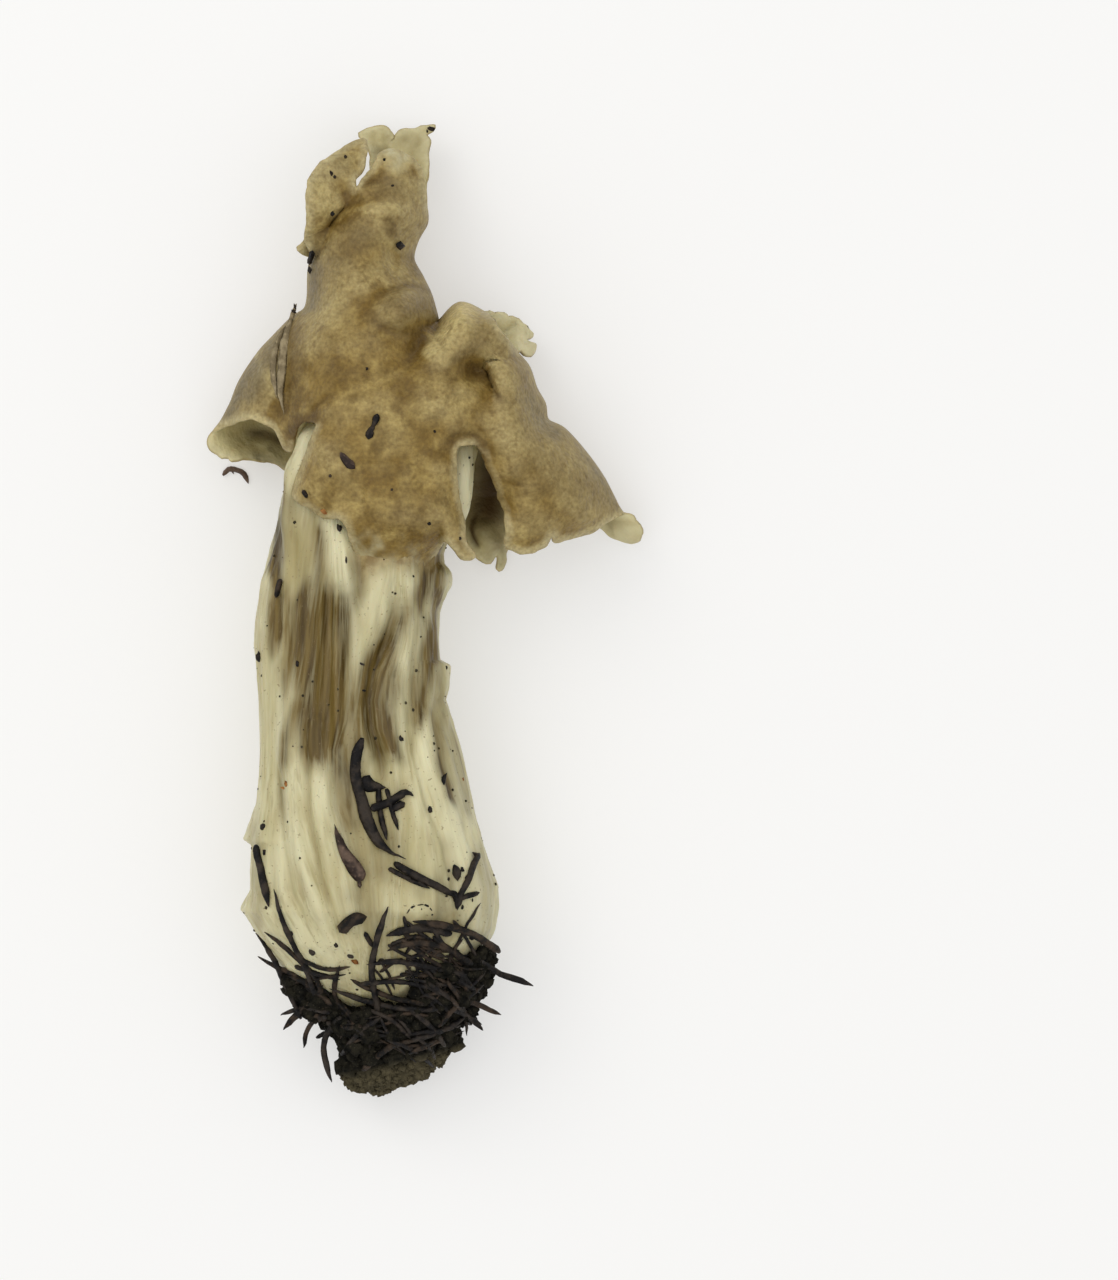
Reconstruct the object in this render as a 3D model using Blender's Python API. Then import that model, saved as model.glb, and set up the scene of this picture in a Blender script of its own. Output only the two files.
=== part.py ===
# A picked, lacunose saddle fungus lying on a flat surface: a thin folded cap,
# a ribbed stipe, the clod of soil at its foot and the forest litter on it.
# Lengths are in millimetres here and become metres as each mesh is made.
# +X is to the right, +Y points along the stipe to the tip of the cap,
# and +Z is up from the surface that the fungus lies on.

import math
import random

import bmesh
import bpy
import numpy as np
from mathutils import Vector
from mathutils.bvhtree import BVHTree
from mathutils.geometry import delaunay_2d_cdt

MM = 0.001

# Driving dimensions
CAP_THICKNESS = 1.3        # flesh of the folded cap
FOLD_RADIUS = 5.5          # how far from a fold the cap starts to round over
CAP_STEP = 2.0             # spacing of the points on the cap
MARGIN_WAVE = 0.5          # height of the waves along the free margins
WAVE_LENGTH = 7.0          # their length along the margin
CLEARANCE = 0.36           # open gap between neighbouring pieces
STIPE_COLUMNS = 52         # facets round the stipe
STIPE_STEP = 2.3           # spacing of its rows along Y
SECTION_POWER = 2.3        # 2 is an ellipse, more is boxier
CLOD_COLUMNS = 36
SOIL_WALL = 0.9            # thinnest soil round the foot of the stipe
SOIL_LUMP = 0.55           # height of the lumps in the soil
LITTER_SEED = 7
FOLD_ROW_ANGLES = (30, 60)  # rows of points that round a fold, in degrees of its bend
CLOD_OUTER_ROWS = 13
CLOD_SOCKET_ROWS = 6
LOWEST_SOIL = 0.3          # the soil never reaches the surface that the fungus lies on
SHARP_SKIN = 50.0          # edges sharper than this stay sharp, in degrees
SHARP_LITTER = 35.0
SKY = 60.0                 # height from which the search rays look down

# Folds, where the front of the cap turns over into its back
LEFT_FOLD = [(-30.5, 25.9), (-29.3, 27.3), (-27.9, 29.6), (-26.5, 33.0), (-24.0, 36.8), (-22.0, 39.0),
             (-19.0, 42.0), (-17.2, 43.2), (-16.6, 45.0), (-16.5, 48.0), (-16.4, 51.0)]
TOP_FOLD = [(0.2, 58.0), (0.0, 56.0), (-1.4, 53.4), (-2.0, 50.6), (-0.7, 48.0), (0.5, 45.5),
            (1.2, 43.2), (1.8, 41.2), (2.7, 41.8), (4.0, 43.2), (5.2, 43.9), (6.8, 43.5), (8.6, 42.8)]
RIGHT_FOLD = [(13.3, 37.0), (14.8, 34.7), (15.8, 31.8), (17.0, 29.6), (17.5, 27.2), (20.0, 25.8),
              (23.0, 22.5), (25.5, 19.0), (27.4, 15.4), (28.6, 13.9)]

# Free margins of the front: the ear and the horn, the edge behind the hump,
# then the right lobe, right slit, front flap, left slit and funnel
FRONT_TOP = [(-17.4, 51.3), (-18.2, 52.2), (-17.1, 53.2), (-16.7, 56.0), (-16.5, 60.5), (-15.6, 63.3),
             (-13.5, 64.9), (-11.3, 66.5), (-8.9, 67.8), (-8.5, 67.0), (-8.5, 65.0), (-9.0, 63.2),
             (-9.9, 61.8), (-9.7, 60.5), (-9.0, 61.5), (-8.0, 62.7), (-7.0, 64.3), (-6.2, 65.7),
             (-5.0, 66.2), (-3.4, 66.2), (-2.0, 66.0), (-1.3, 63.8), (-0.6, 61.0)]
FRONT_RIGHT = [(9.8, 41.6), (11.0, 39.6), (12.4, 38.0)]
FRONT_BOTTOM = [(27.2, 13.3), (25.5, 12.0), (23.0, 10.9), (21.0, 10.2), (19.3, 9.7), (18.4, 10.6),
                (17.6, 9.2), (15.6, 8.2), (13.8, 8.0), (12.0, 8.8), (11.9, 12.5), (10.9, 16.0),
                (9.6, 19.2), (8.4, 22.4), (7.6, 23.4), (6.0, 23.8), (4.5, 23.0), (4.6, 19.0),
                (5.0, 15.6), (5.8, 12.2), (5.9, 10.2), (7.2, 7.9), (6.6, 7.1), (5.0, 7.6),
                (3.4, 9.5), (2.2, 9.9), (0.6, 8.0), (-0.8, 6.7), (-2.4, 6.6), (-5.0, 8.0),
                (-8.3, 9.4), (-10.2, 11.8), (-11.5, 13.1), (-14.2, 13.0), (-16.2, 14.4),
                (-18.3, 15.9), (-18.5, 17.2), (-17.6, 20.2), (-16.4, 23.3), (-15.3, 26.2),
                (-16.5, 27.0), (-18.0, 26.4), (-18.6, 24.5), (-19.0, 22.8), (-20.2, 23.4),
                (-20.9, 25.0), (-21.4, 26.2), (-23.0, 26.9), (-25.0, 27.4), (-26.8, 27.2),
                (-28.6, 26.6)]

# Free margins of the back: two pale tongues over the horn, the scalloped
# flap behind the hump, then the curled tip, the hidden hem and the lower lip
BACK_TOP = [(-14.6, 52.6), (-12.2, 55.5), (-9.8, 58.4), (-8.3, 61.0), (-8.1, 64.0), (-8.2, 66.5),
            (-9.1, 68.2), (-9.5, 69.0), (-8.2, 69.8), (-6.0, 70.1), (-5.1, 69.3), (-4.5, 68.2),
            (-4.0, 69.3), (-2.2, 69.9), (0.2, 70.1), (1.4, 70.2), (1.2, 69.4), (0.2, 68.8),
            (0.7, 68.0), (0.3, 66.5), (0.4, 64.0), (0.1, 61.0)]
BACK_RIGHT = [(10.0, 42.9), (11.5, 42.8), (12.6, 42.6), (14.2, 41.6), (15.5, 40.2), (14.6, 39.2),
              (15.9, 38.6), (15.6, 37.0), (14.2, 37.2)]
BACK_BOTTOM = [(29.8, 13.6), (30.7, 12.6), (31.4, 11.2), (30.8, 9.9), (29.0, 9.8), (27.0, 10.8),
               (24.4, 12.4), (20.0, 11.6), (16.0, 10.4), (12.6, 9.8), (11.6, 8.4), (11.3, 6.4),
               (10.4, 6.2), (10.0, 7.6), (8.6, 7.1), (7.2, 8.0), (6.2, 9.8), (4.5, 12.0),
               (0.0, 13.0), (-5.0, 13.6), (-10.0, 14.8), (-15.0, 17.2), (-19.4, 20.0),
               (-22.0, 21.3), (-24.3, 21.7), (-26.5, 21.7), (-28.2, 21.5), (-29.4, 22.0),
               (-30.6, 22.9), (-31.3, 24.0), (-31.2, 25.1)]

# Height spots (x, y, height of the middle of the flesh): front of the cap
FRONT_SPOTS = [
    # front flap and its tail
    (-14.5, 15.0, 25.8), (-8.0, 12.0, 27.0), (-1.5, 8.0, 26.8), (4.5, 9.0, 24.6), (6.6, 7.4, 23.2),
    (-17.8, 16.6, 24.0), (-16.0, 22.0, 25.0), (-8.0, 20.0, 27.4), (1.0, 16.0, 27.0), (4.3, 20.0, 25.8),
    # centre
    (-8.0, 28.0, 27.4), (0.0, 26.0, 27.6), (6.0, 26.5, 26.4), (-14.0, 29.0, 25.0), (-17.0, 28.2, 22.6),
    (12.0, 24.0, 25.0), (3.0, 31.0, 27.2), (-4.0, 34.0, 25.8), (-10.0, 37.0, 24.6), (-14.0, 37.0, 22.8),
    # ridge, hollow and second fold at the right
    (2.5, 37.5, 25.8), (4.5, 40.5, 25.4), (8.0, 39.0, 24.4), (7.8, 34.0, 22.2), (11.2, 34.5, 25.2),
    (12.5, 31.0, 25.4), (10.0, 31.5, 23.6), (13.5, 28.0, 24.4),
    # valley and the dark bulge below the horn
    (1.5, 39.8, 21.4), (-1.0, 36.8, 23.6), (-3.5, 42.0, 26.2), (-8.5, 43.0, 22.8), (-4.0, 46.6, 21.4),
    # left shoulder and funnel
    (-19.0, 38.0, 18.0), (-20.3, 33.0, 17.8), (-20.5, 29.0, 16.0), (-18.0, 30.5, 19.6),
    (-23.5, 33.0, 16.6), (-25.5, 29.8, 14.8), (-25.0, 27.4, 15.6), (-28.5, 26.6, 12.4),
    (-22.0, 26.6, 16.2), (-20.3, 24.5, 16.6), (-19.2, 23.0, 16.8),
    # horn and ear
    (-10.0, 48.0, 21.5), (-5.5, 50.0, 19.4), (-13.5, 46.0, 20.0), (-9.0, 54.0, 20.2), (-4.0, 57.0, 19.8),
    (-3.0, 53.8, 18.0), (-6.0, 61.0, 17.8), (-4.0, 65.0, 16.4), (-2.2, 65.5, 15.4), (-1.0, 62.0, 15.8),
    (-8.0, 62.6, 16.6), (-13.2, 56.4, 17.0), (-15.6, 57.0, 19.0), (-14.0, 62.0, 18.2),
    (-10.5, 65.0, 16.0), (-9.0, 67.3, 13.6), (-18.0, 52.2, 15.5), (-10.6, 60.2, 17.0),
    # right lobe
    (16.0, 22.0, 22.8), (14.0, 16.0, 22.6), (19.0, 18.0, 20.6), (13.0, 11.0, 20.6), (15.0, 8.4, 18.0),
    (12.2, 9.5, 18.8), (18.5, 10.8, 18.0), (21.0, 13.0, 17.8), (21.0, 10.4, 14.8), (25.0, 13.5, 14.2),
    (25.5, 12.2, 11.8), (24.0, 18.0, 17.0), (27.5, 13.6, 10.5), (11.0, 16.5, 21.2), (9.2, 20.5, 23.0),
    (12.0, 20.0, 24.2), (16.5, 25.5, 22.0), (15.5, 29.5, 21.8)]

# Height spots of the back, which lies close to the surface
BACK_SPOTS = [
    (-8.0, 25.0, 0.6), (10.0, 22.0, 0.6), (-12.0, 40.0, 1.2), (0.0, 38.0, 1.2), (-8.0, 50.0, 2.6),
    (-5.0, 60.0, 4.0), (-6.0, 68.6, 5.4), (-2.5, 68.0, 4.8), (0.8, 69.8, 6.4), (0.3, 64.0, 8.4),
    (0.2, 61.0, 9.4), (-8.1, 65.0, 6.0), (-9.3, 69.0, 6.6), (-12.0, 54.0, 5.5),
    (10.0, 42.0, 7.4), (13.0, 40.5, 5.4), (15.3, 40.0, 4.0), (15.5, 37.6, 4.6), (14.0, 37.5, 7.0),
    (18.0, 20.0, 1.2), (22.0, 17.0, 1.6), (28.0, 11.5, 3.2), (31.0, 11.0, 5.0), (30.0, 13.2, 6.6),
    (27.0, 12.0, 2.4), (20.0, 12.0, 1.8), (13.0, 10.0, 1.4), (11.0, 6.4, 2.4), (8.0, 7.6, 3.2),
    (6.2, 10.0, 2.6), (-4.0, 13.5, 0.7), (-15.0, 17.0, 0.9), (-20.0, 20.5, 2.6), (-23.0, 21.6, 4.6),
    (-26.5, 24.6, 2.2), (-23.4, 24.4, 2.0), (-28.6, 22.0, 6.4), (-31.0, 24.0, 7.4), (-26.3, 21.8, 6.0),
    (-24.0, 30.0, 1.6), (-20.0, 35.0, 1.2)]

# Height of the folds themselves
FOLD_SPOTS = [
    (-30.5, 25.9, 8.0), (-28.0, 29.5, 7.6), (-24.0, 37.0, 8.0), (-17.0, 43.0, 9.0), (-16.4, 51.0, 10.0),
    (0.2, 58.0, 10.5), (-2.0, 50.6, 10.5), (1.5, 42.0, 11.0), (5.2, 43.9, 12.6), (8.6, 42.8, 12.4),
    (13.3, 37.0, 12.0), (17.4, 28.0, 10.5), (23.0, 22.5, 8.5), (28.6, 13.9, 7.5)]

# Outline of the stipe at points along Y: left edge, right edge, top and belly
STIPE_LEFT = [(31.0, -8.0), (30.0, -12.0), (28.0, -15.6), (25.5, -17.4), (22.5, -18.5), (20.5, -19.4),
              (17.0, -20.4), (14.0, -21.2), (10.0, -22.1), (4.0, -23.5), (-2.0, -24.4), (-5.0, -24.6),
              (-12.0, -24.1), (-20.0, -23.8), (-24.0, -23.8), (-28.0, -24.7), (-33.0, -25.9),
              (-35.0, -25.1), (-40.0, -25.4), (-43.5, -26.3), (-45.5, -24.9), (-48.5, -23.0),
              (-52.0, -20.3), (-55.0, -17.0), (-58.0, -12.5), (-60.0, -8.5)]
STIPE_RIGHT = [(31.0, -3.0), (29.0, 2.6), (26.0, 6.2), (23.0, 7.9), (20.0, 7.6), (16.0, 6.9),
               (12.8, 5.8), (10.5, 3.6), (8.0, 2.7), (5.0, 3.3), (3.5, 3.2), (0.0, 2.3), (-4.0, 2.1),
               (-7.4, 2.1), (-8.4, 3.9), (-11.0, 3.6), (-13.0, 3.3), (-16.0, 4.1), (-21.0, 5.5),
               (-27.0, 6.8), (-33.0, 8.3), (-38.0, 10.0), (-43.0, 10.7), (-46.0, 10.3), (-49.0, 8.6),
               (-52.0, 6.6), (-55.0, 4.2), (-58.0, 0.5), (-60.0, -3.5)]
STIPE_TOP = [(31.0, 15.5), (29.0, 19.0), (26.0, 21.4), (20.0, 22.8), (12.0, 23.6), (4.0, 24.0),
             (-5.0, 24.0), (-15.0, 24.4), (-25.0, 25.4), (-35.0, 26.4), (-43.0, 26.4), (-48.0, 24.6),
             (-52.0, 21.5), (-55.0, 18.5), (-58.0, 15.0), (-60.0, 12.0)]
STIPE_BELLY = [(31.0, 11.0), (29.0, 7.0), (26.0, 4.4), (20.0, 3.0), (13.0, 2.2), (5.0, -1.6),
               (-43.0, -1.9), (-47.0, 0.0), (-50.0, 2.4), (-55.0, 4.6), (-58.0, 7.0), (-60.0, 9.0)]

# Ribs (positive height) and furrows (negative) on the front of the stipe:
# points (y, x) down the crest, half width, height
RIBS = [
    ("edge band", [(4, -22.6), (-10, -22.4), (-16, -21.8), (-26, -22.4), (-40, -23.3), (-50, -20.0)], 1.5, 1.1),
    ("thin strand", [(18, -18.8), (12, -19.2), (2, -19.3), (-6, -20.0)], 0.8, 0.8),
    ("pale panel", [(11, -17.2), (0, -17.3)], 1.8, 0.7),
    ("forked rib, left", [(15, -13.2), (6, -15.0), (0, -16.2), (-6, -17.0), (-17, -19.0), (-22, -19.3),
                          (-30, -18.3), (-36, -17.0), (-42, -15.0), (-48, -13.0), (-52, -10.0)], 1.3, 1.7),
    ("forked rib, right", [(15, -12.6), (3, -10.6), (-4, -10.2), (-10, -10.2), (-16, -10.8),
                           (-20, -12.2)], 1.2, 1.5),
    ("lower rib", [(-17, -14.8), (-22, -14.6), (-28, -14.5), (-32, -13.6), (-38, -12.0), (-43, -10.0),
                   (-49, -8.0)], 1.6, 1.6),
    ("broad rib", [(12, -5.0), (5, -5.2), (-2, -7.0), (-6, -8.4), (-16, -9.4), (-20, -9.4)], 2.2, 1.5),
    ("middle rib", [(8, -2.6), (2, -2.5), (-4, -2.0), (-10, -3.4), (-20, -4.0)], 1.4, 1.5),
    ("lower right rib", [(-4, 0.4), (-17, 0.0), (-22, 1.0), (-28, 3.0), (-34, 5.0), (-38, 6.0),
                         (-46, 6.6)], 1.4, 1.4),
    ("right edge", [(-10, 2.4), (-16, 3.0), (-25, 5.4), (-34, 7.6), (-42, 8.8)], 1.0, 0.8),
    ("left groove", [(16, -20.3), (11, -21.0), (4, -21.0), (-4, -21.0)], 0.9, -1.0),
    ("smoky furrow", [(2, -13.6), (-8, -13.6), (-14, -14.4), (-21, -14.0)], 2.0, -2.0),
    ("slanted furrow", [(0, -3.6), (-5, -5.5), (-9, -7.2), (-13, -8.0), (-17, -7.4), (-22, -5.6)], 0.9, -1.5),
    ("lower furrow", [(-20, -12.0), (-26, -12.5), (-30, -13.0), (-34, -13.4), (-38, -12.2)], 0.8, -1.0),
    ("shallow hollow", [(-23, -6.2), (-37, -5.8)], 3.0, -1.7),
    ("dark line", [(-15, 1.6), (-21, 2.5), (-27, 3.6)], 0.7, -1.0),
    ("small hollow", [(7.5, -9.3), (3.0, -9.2)], 0.9, -1.3)]
RIB_TAPER = 5.0            # how gently a rib fades out at its ends
RIBS_END = -49.2           # the foot is plain below this, where it stands in the soil
GROOVE_DEPTH = 1.7         # grooves between the ribs at the sides and behind
RIB_COUNT = 10
RIB_TWIST = 0.05           # how much these ribs turn for each millimetre of height
RIB_WANDER = 0.9           # how far they wander from a straight line
WANDER_LENGTH = 23.0

# Outline of the clod at points along Y
CLOD_LEFT = [(-47.0, -25.6), (-52.0, -22.2), (-56.0, -19.0), (-58.5, -16.8), (-61.0, -14.0),
             (-64.0, -12.9), (-67.0, -13.0), (-69.0, -11.0), (-70.2, -8.0)]
CLOD_RIGHT = [(-47.0, 11.6), (-50.0, 10.4), (-54.0, 9.2), (-57.0, 7.6), (-60.5, 5.4), (-63.0, 5.0),
              (-66.0, 2.6), (-68.5, -1.5), (-70.2, -6.0)]
CLOD_TOP = [(-47.0, 27.6), (-52.0, 24.6), (-56.0, 21.6), (-60.0, 19.0), (-64.0, 16.6), (-68.0, 12.4),
            (-70.2, 8.6)]
CLOD_BELLY = [(-47.0, -2.2), (-50.0, 0.6), (-60.0, 0.4), (-66.0, 1.2), (-70.2, 6.0)]
SOCKET_END = -60.6         # how deep the plain hole for the foot goes

# Litter needles rooted in the clod: points from the root to the tip, width
CLOD_NEEDLES = [
    ([(-15.0, -57.0), (-17.0, -51.5), (-18.6, -48.0), (-20.3, -44.0), (-21.4, -40.0)], 1.0),
    ([(-14.5, -57.5), (-15.5, -53.0), (-20.0, -48.3), (-22.8, -46.3)], 0.9),
    ([(-17.8, -59.0), (-20.0, -54.0), (-22.0, -49.6), (-24.2, -46.6)], 1.0),
    ([(-13.0, -57.0), (-18.0, -53.0), (-21.5, -51.4), (-24.0, -50.0)], 1.0),
    ([(-6.5, -58.0), (-7.4, -52.0), (-6.4, -46.5), (-4.9, -42.4)], 1.2),
    ([(4.0, -53.0), (10.0, -48.6), (5.0, -45.2), (-1.0, -44.8), (-5.0, -46.2)], 1.3),
    ([(7.0, -51.0), (3.0, -48.4), (-1.0, -47.6), (-5.2, -48.8)], 1.2),
    ([(8.0, -50.5), (11.0, -52.4), (13.6, -53.3), (15.7, -54.2)], 1.1),
    ([(5.5, -56.0), (8.5, -57.2), (11.0, -58.4)], 1.0),
    ([(4.0, -57.5), (6.3, -58.6), (8.4, -60.7)], 1.0),
    ([(-14.0, -59.0), (-17.5, -58.0), (-20.3, -60.6)], 1.3),
    ([(-13.5, -58.0), (-17.0, -57.4), (-20.8, -58.5)], 0.9),
    ([(-14.0, -58.5), (-16.6, -60.0), (-17.5, -63.3)], 0.9),
    ([(-12.0, -58.5), (-14.5, -62.6), (-13.4, -68.2)], 1.1),
    ([(-9.0, -60.0), (-15.0, -54.5), (-20.0, -52.6)], 1.0),
    ([(2.0, -57.3), (-4.0, -57.2), (-9.0, -56.0), (-13.5, -54.4)], 1.0),
    ([(0.0, -56.5), (-5.0, -55.6), (-10.5, -53.0)], 1.0),
    ([(6.0, -52.5), (1.0, -51.2), (-4.0, -50.4), (-8.0, -50.8)], 1.1),
    ([(2.0, -60.0), (5.0, -56.5), (8.6, -54.0)], 1.1),
    ([(-2.0, -62.0), (2.5, -60.6), (6.4, -58.4)], 1.0),
    ([(-9.0, -66.5), (-5.0, -63.0), (-1.0, -61.8)], 1.1),
    ([(-12.0, -64.5), (-9.5, -61.0), (-6.0, -58.4)], 1.0),
    ([(-10.0, -59.5), (-12.8, -55.5), (-12.0, -51.0)], 0.9),
    ([(3.0, -63.0), (0.5, -59.4), (-3.0, -56.6)], 1.0)]
HIDDEN_NEEDLES = 14        # more of them round the sides and the underside
NEEDLE_LENGTH = 12.0
LOWEST_NEEDLE = -69.2      # hidden needles stay inside the outline that is seen from above
NEEDLE_INSET = 0.5
NEEDLE_SIDES = 4
NEEDLE_STEP = 2.6          # spacing of the rings along a needle

# Loose litter: node name, what it lies on, list of (points, width, thickness)
LOOSE_LITTER = [
    ("needle_curved", "stipe", [([(-8.6, -18.3), (-9.5, -21.0), (-9.6, -24.0), (-8.8, -27.0), (-8.0, -30.0),
                                  (-6.5, -33.0), (-4.5, -34.7), (-2.3, -35.7)], 1.4, 0.8)]),
    ("needle_cluster_middle", "stipe", [([(-7.5, -28.6), (-5.0, -27.6), (-2.5, -26.4), (-1.4, -26.8)], 1.3, 0.8),
                                        ([(-5.2, -25.6), (-4.6, -28.0), (-3.6, -31.5)], 0.9, 0.8),
                                        ([(-6.6, -24.2), (-6.2, -27.0), (-5.6, -31.0)], 0.9, 0.8)]),
    ("needle_short", "stipe", [([(-12.3, -31.0), (-11.5, -34.0), (-10.0, -36.5), (-8.8, -38.3)], 1.7, 0.9)]),
    ("needle_left", "stipe", [([(-23.9, -33.8), (-23.2, -37.0), (-22.6, -40.0), (-22.1, -42.5)], 1.0, 0.8)]),
    ("needle_pair_right", "stipe", [([(-4.2, -36.2), (-1.0, -38.0), (2.0, -39.5), (4.8, -41.2)], 1.2, 0.8),
                                    ([(-5.0, -37.2), (-2.0, -38.6), (1.0, -39.6), (3.0, -40.6)], 0.9, 0.8),
                                    ([(8.0, -35.2), (7.2, -36.8), (6.2, -38.8), (4.8, -41.8)], 1.1, 0.9),
                                    ([(4.0, -40.8), (6.0, -41.2), (8.2, -40.4)], 1.0, 0.8)]),
    ("bark_chip", "stipe", [([(-11.9, -45.6), (-10.4, -44.4), (-8.0, -43.9)], 1.8, 0.9)]),
    ("needle_thin", "stipe", [([(-20.5, 4.4), (-21.2, 1.6)], 0.9, 0.7)]),
    ("dry_blade", "cap", [([(-19.3, 41.2), (-20.4, 38.0), (-20.9, 34.5), (-20.9, 31.0), (-20.3, 28.4)], 1.6, 0.7)]),
    ("black_bit", "cap", [([(-6.5, 27.6), (-7.0, 26.3), (-7.5, 24.3)], 1.1, 0.7)]),
    ("brown_bit", "cap", [([(-11.5, 22.0), (-9.8, 20.0)], 1.2, 0.7)]),
    ("square_bit", "cap", [([(-3.7, 52.6), (-2.9, 51.9)], 1.2, 0.8)]),
    ("black_fleck", "cap", [([(-16.1, 51.4), (-16.4, 50.0), (-16.3, 48.6)], 0.9, 0.8)]),
    ("dark_curl", "table", [([(-29.4, 19.6), (-28.6, 20.2), (-27.5, 20.2), (-26.5, 19.6), (-25.9, 18.4)],
                           0.9, 0.8)])]
LITTER_SINK = 0.4          # how far a root goes into what it grows from


def curve_through(points, step):
    """Evenly spaced points on the smooth curve through a list of points."""
    places = [Vector(point) for point in points]
    line = [places[0]]
    for index in range(len(places) - 1):
        before = places[max(index - 1, 0)]
        start = places[index]
        end = places[index + 1]
        after = places[min(index + 2, len(places) - 1)]
        pieces = max(1, round((end - start).length / step))
        for piece in range(1, pieces + 1):
            t = piece / pieces
            line.append(0.5 * (2 * start + (end - before) * t
                               + (2 * before - 5 * start + 4 * end - after) * t ** 2
                               + (3 * start - before - 3 * end + after) * t ** 3))
    return line


def height_surface(spots):
    """A thin-plate surface that passes close to the height spots."""
    table = np.array(spots, dtype=float)
    centres = table[:, :2]
    count = len(spots)
    stiffness = 0.5

    def plate(points):
        square = ((points[:, None, :] - centres[None, :, :]) ** 2).sum(axis=2)
        return square * np.log(square + 1e-9)

    plane = np.hstack([np.ones((count, 1)), centres])
    system = np.zeros((count + 3, count + 3))
    system[:count, :count] = plate(centres) + stiffness * np.eye(count)
    system[:count, count:] = plane
    system[count:, :count] = plane.T
    weights = np.linalg.solve(system, np.append(table[:, 2], [0.0, 0.0, 0.0]))

    def height(points):
        points = np.asarray(points, dtype=float).reshape(-1, 2)
        flat = np.hstack([np.ones((len(points), 1)), points])
        return plate(points) @ weights[:count] + flat @ weights[count:]

    return height


def distance_to(points, lines):
    """Shortest distance from each point to any of the open lines."""
    points = np.asarray(points, dtype=float).reshape(-1, 2)
    nearest = np.full(len(points), 1e9)
    for line in lines:
        corners = np.array([(p[0], p[1]) for p in line])
        for start, end in zip(corners[:-1], corners[1:]):
            along = end - start
            share = np.clip(((points - start) @ along) / (along @ along + 1e-12), 0.0, 1.0)
            gap = points - (start + share[:, None] * along)
            nearest = np.minimum(nearest, np.hypot(gap[:, 0], gap[:, 1]))
    return nearest


def inside(points, outline):
    """Which points lie inside a closed outline."""
    points = np.asarray(points, dtype=float).reshape(-1, 2)
    result = np.zeros(len(points), dtype=bool)
    for start, end in zip(outline, outline[1:] + outline[:1]):
        crosses = (start[1] > points[:, 1]) != (end[1] > points[:, 1])
        rise = (end[1] - start[1]) or 1e-12
        reach = (end[0] - start[0]) * (points[:, 1] - start[1]) / rise + start[0]
        result ^= crosses & (points[:, 0] < reach)
    return result


class CapShape:
    """The folded sheet: outlines, folds and heights of its front and back."""

    def __init__(self, step):
        self.step = step
        self.folds = [curve_through(fold, step) for fold in (LEFT_FOLD, TOP_FOLD, RIGHT_FOLD)]
        self.sides = {}
        for side, top, right, bottom in (("front", FRONT_TOP, FRONT_RIGHT, FRONT_BOTTOM),
                                         ("back", BACK_TOP, BACK_RIGHT, BACK_BOTTOM)):
            margins = [curve_through([LEFT_FOLD[-1]] + top + [TOP_FOLD[0]], step),
                       curve_through([TOP_FOLD[-1]] + right + [RIGHT_FOLD[0]], step),
                       curve_through([RIGHT_FOLD[-1]] + bottom + [LEFT_FOLD[0]], step)]
            outline = []
            for fold, margin in zip(self.folds, margins):
                outline += fold[:-1] + margin[:-1]
            self.sides[side] = (outline, margins)
        self.plateau = {"front": height_surface(FRONT_SPOTS), "back": height_surface(BACK_SPOTS)}
        self.fold_height = height_surface(FOLD_SPOTS)

    def height(self, side, points):
        """Height of the middle of the flesh, rounded over near the folds."""
        points = np.asarray(points, dtype=float).reshape(-1, 2)
        from_fold = distance_to(points, self.folds)
        from_margin = distance_to(points, self.sides[side][1])
        inward = np.clip(from_fold / FOLD_RADIUS, 0.0, 1.0)
        rounding = np.sqrt(1.0 - (1.0 - inward) ** 2)
        wave = np.sin((points[:, 0] + points[:, 1]) * 2 * math.pi / WAVE_LENGTH)
        level = self.plateau[side](points) + MARGIN_WAVE * wave * np.exp(-from_margin / 2.5)
        if side == "back":
            level = np.maximum(level, CAP_THICKNESS / 2)
        middle = self.fold_height(points)
        return middle + (level - middle) * rounding

    def points_inside(self, side):
        """Rows that round the folds, then an even triangular field."""
        outline, margins = self.sides[side]
        rows = []
        for angle in FOLD_ROW_ANGLES:
            depth = FOLD_RADIUS * (1 - math.cos(math.radians(angle)))
            for fold in self.folds:
                for start, end in zip(fold[:-1], fold[1:]):
                    along = (end - start).normalized()
                    rows.append(((start + end) / 2 + Vector((along.y, -along.x)) * depth, depth))
        places = np.array([point for point, depth in rows])
        depths = np.array([depth for point, depth in rows])
        keep = (inside(places, outline) & (distance_to(places, self.folds) > 0.93 * depths)
                & (distance_to(places, margins) > 0.6 * self.step))
        chosen = places[keep]
        xs = np.arange(-34.0, 34.0, self.step)
        ys = np.arange(4.0, 72.0, self.step * math.sqrt(3) / 2)
        field = np.array([(x + (row % 2) * self.step / 2, y) for row, y in enumerate(ys) for x in xs])
        row_end = FOLD_RADIUS * (1 - math.cos(math.radians(FOLD_ROW_ANGLES[-1]))) + 0.45 * self.step
        keep = (inside(field, outline) & (distance_to(field, self.folds) > row_end)
                & (distance_to(field, margins) > 0.6 * self.step))
        return np.vstack([chosen, field[keep]])

    def sheet(self, side):
        """Corners and triangles of one side of the cap."""
        outline = self.sides[side][0]
        rim = [Vector((point[0], point[1])) for point in outline]
        field = [Vector(point) for point in self.points_inside(side)]
        edges = [(index, (index + 1) % len(rim)) for index in range(len(rim))]
        flat, _, triangles, _, _, _ = delaunay_2d_cdt(rim + field, edges, [], 1, 1e-5)
        flat = np.array([tuple(point) for point in flat])
        heights = self.height(side, flat)
        corners = [(x, y, z) for (x, y), z in zip(flat, heights)]
        return corners, [tuple(triangle) for triangle in triangles]


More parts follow.
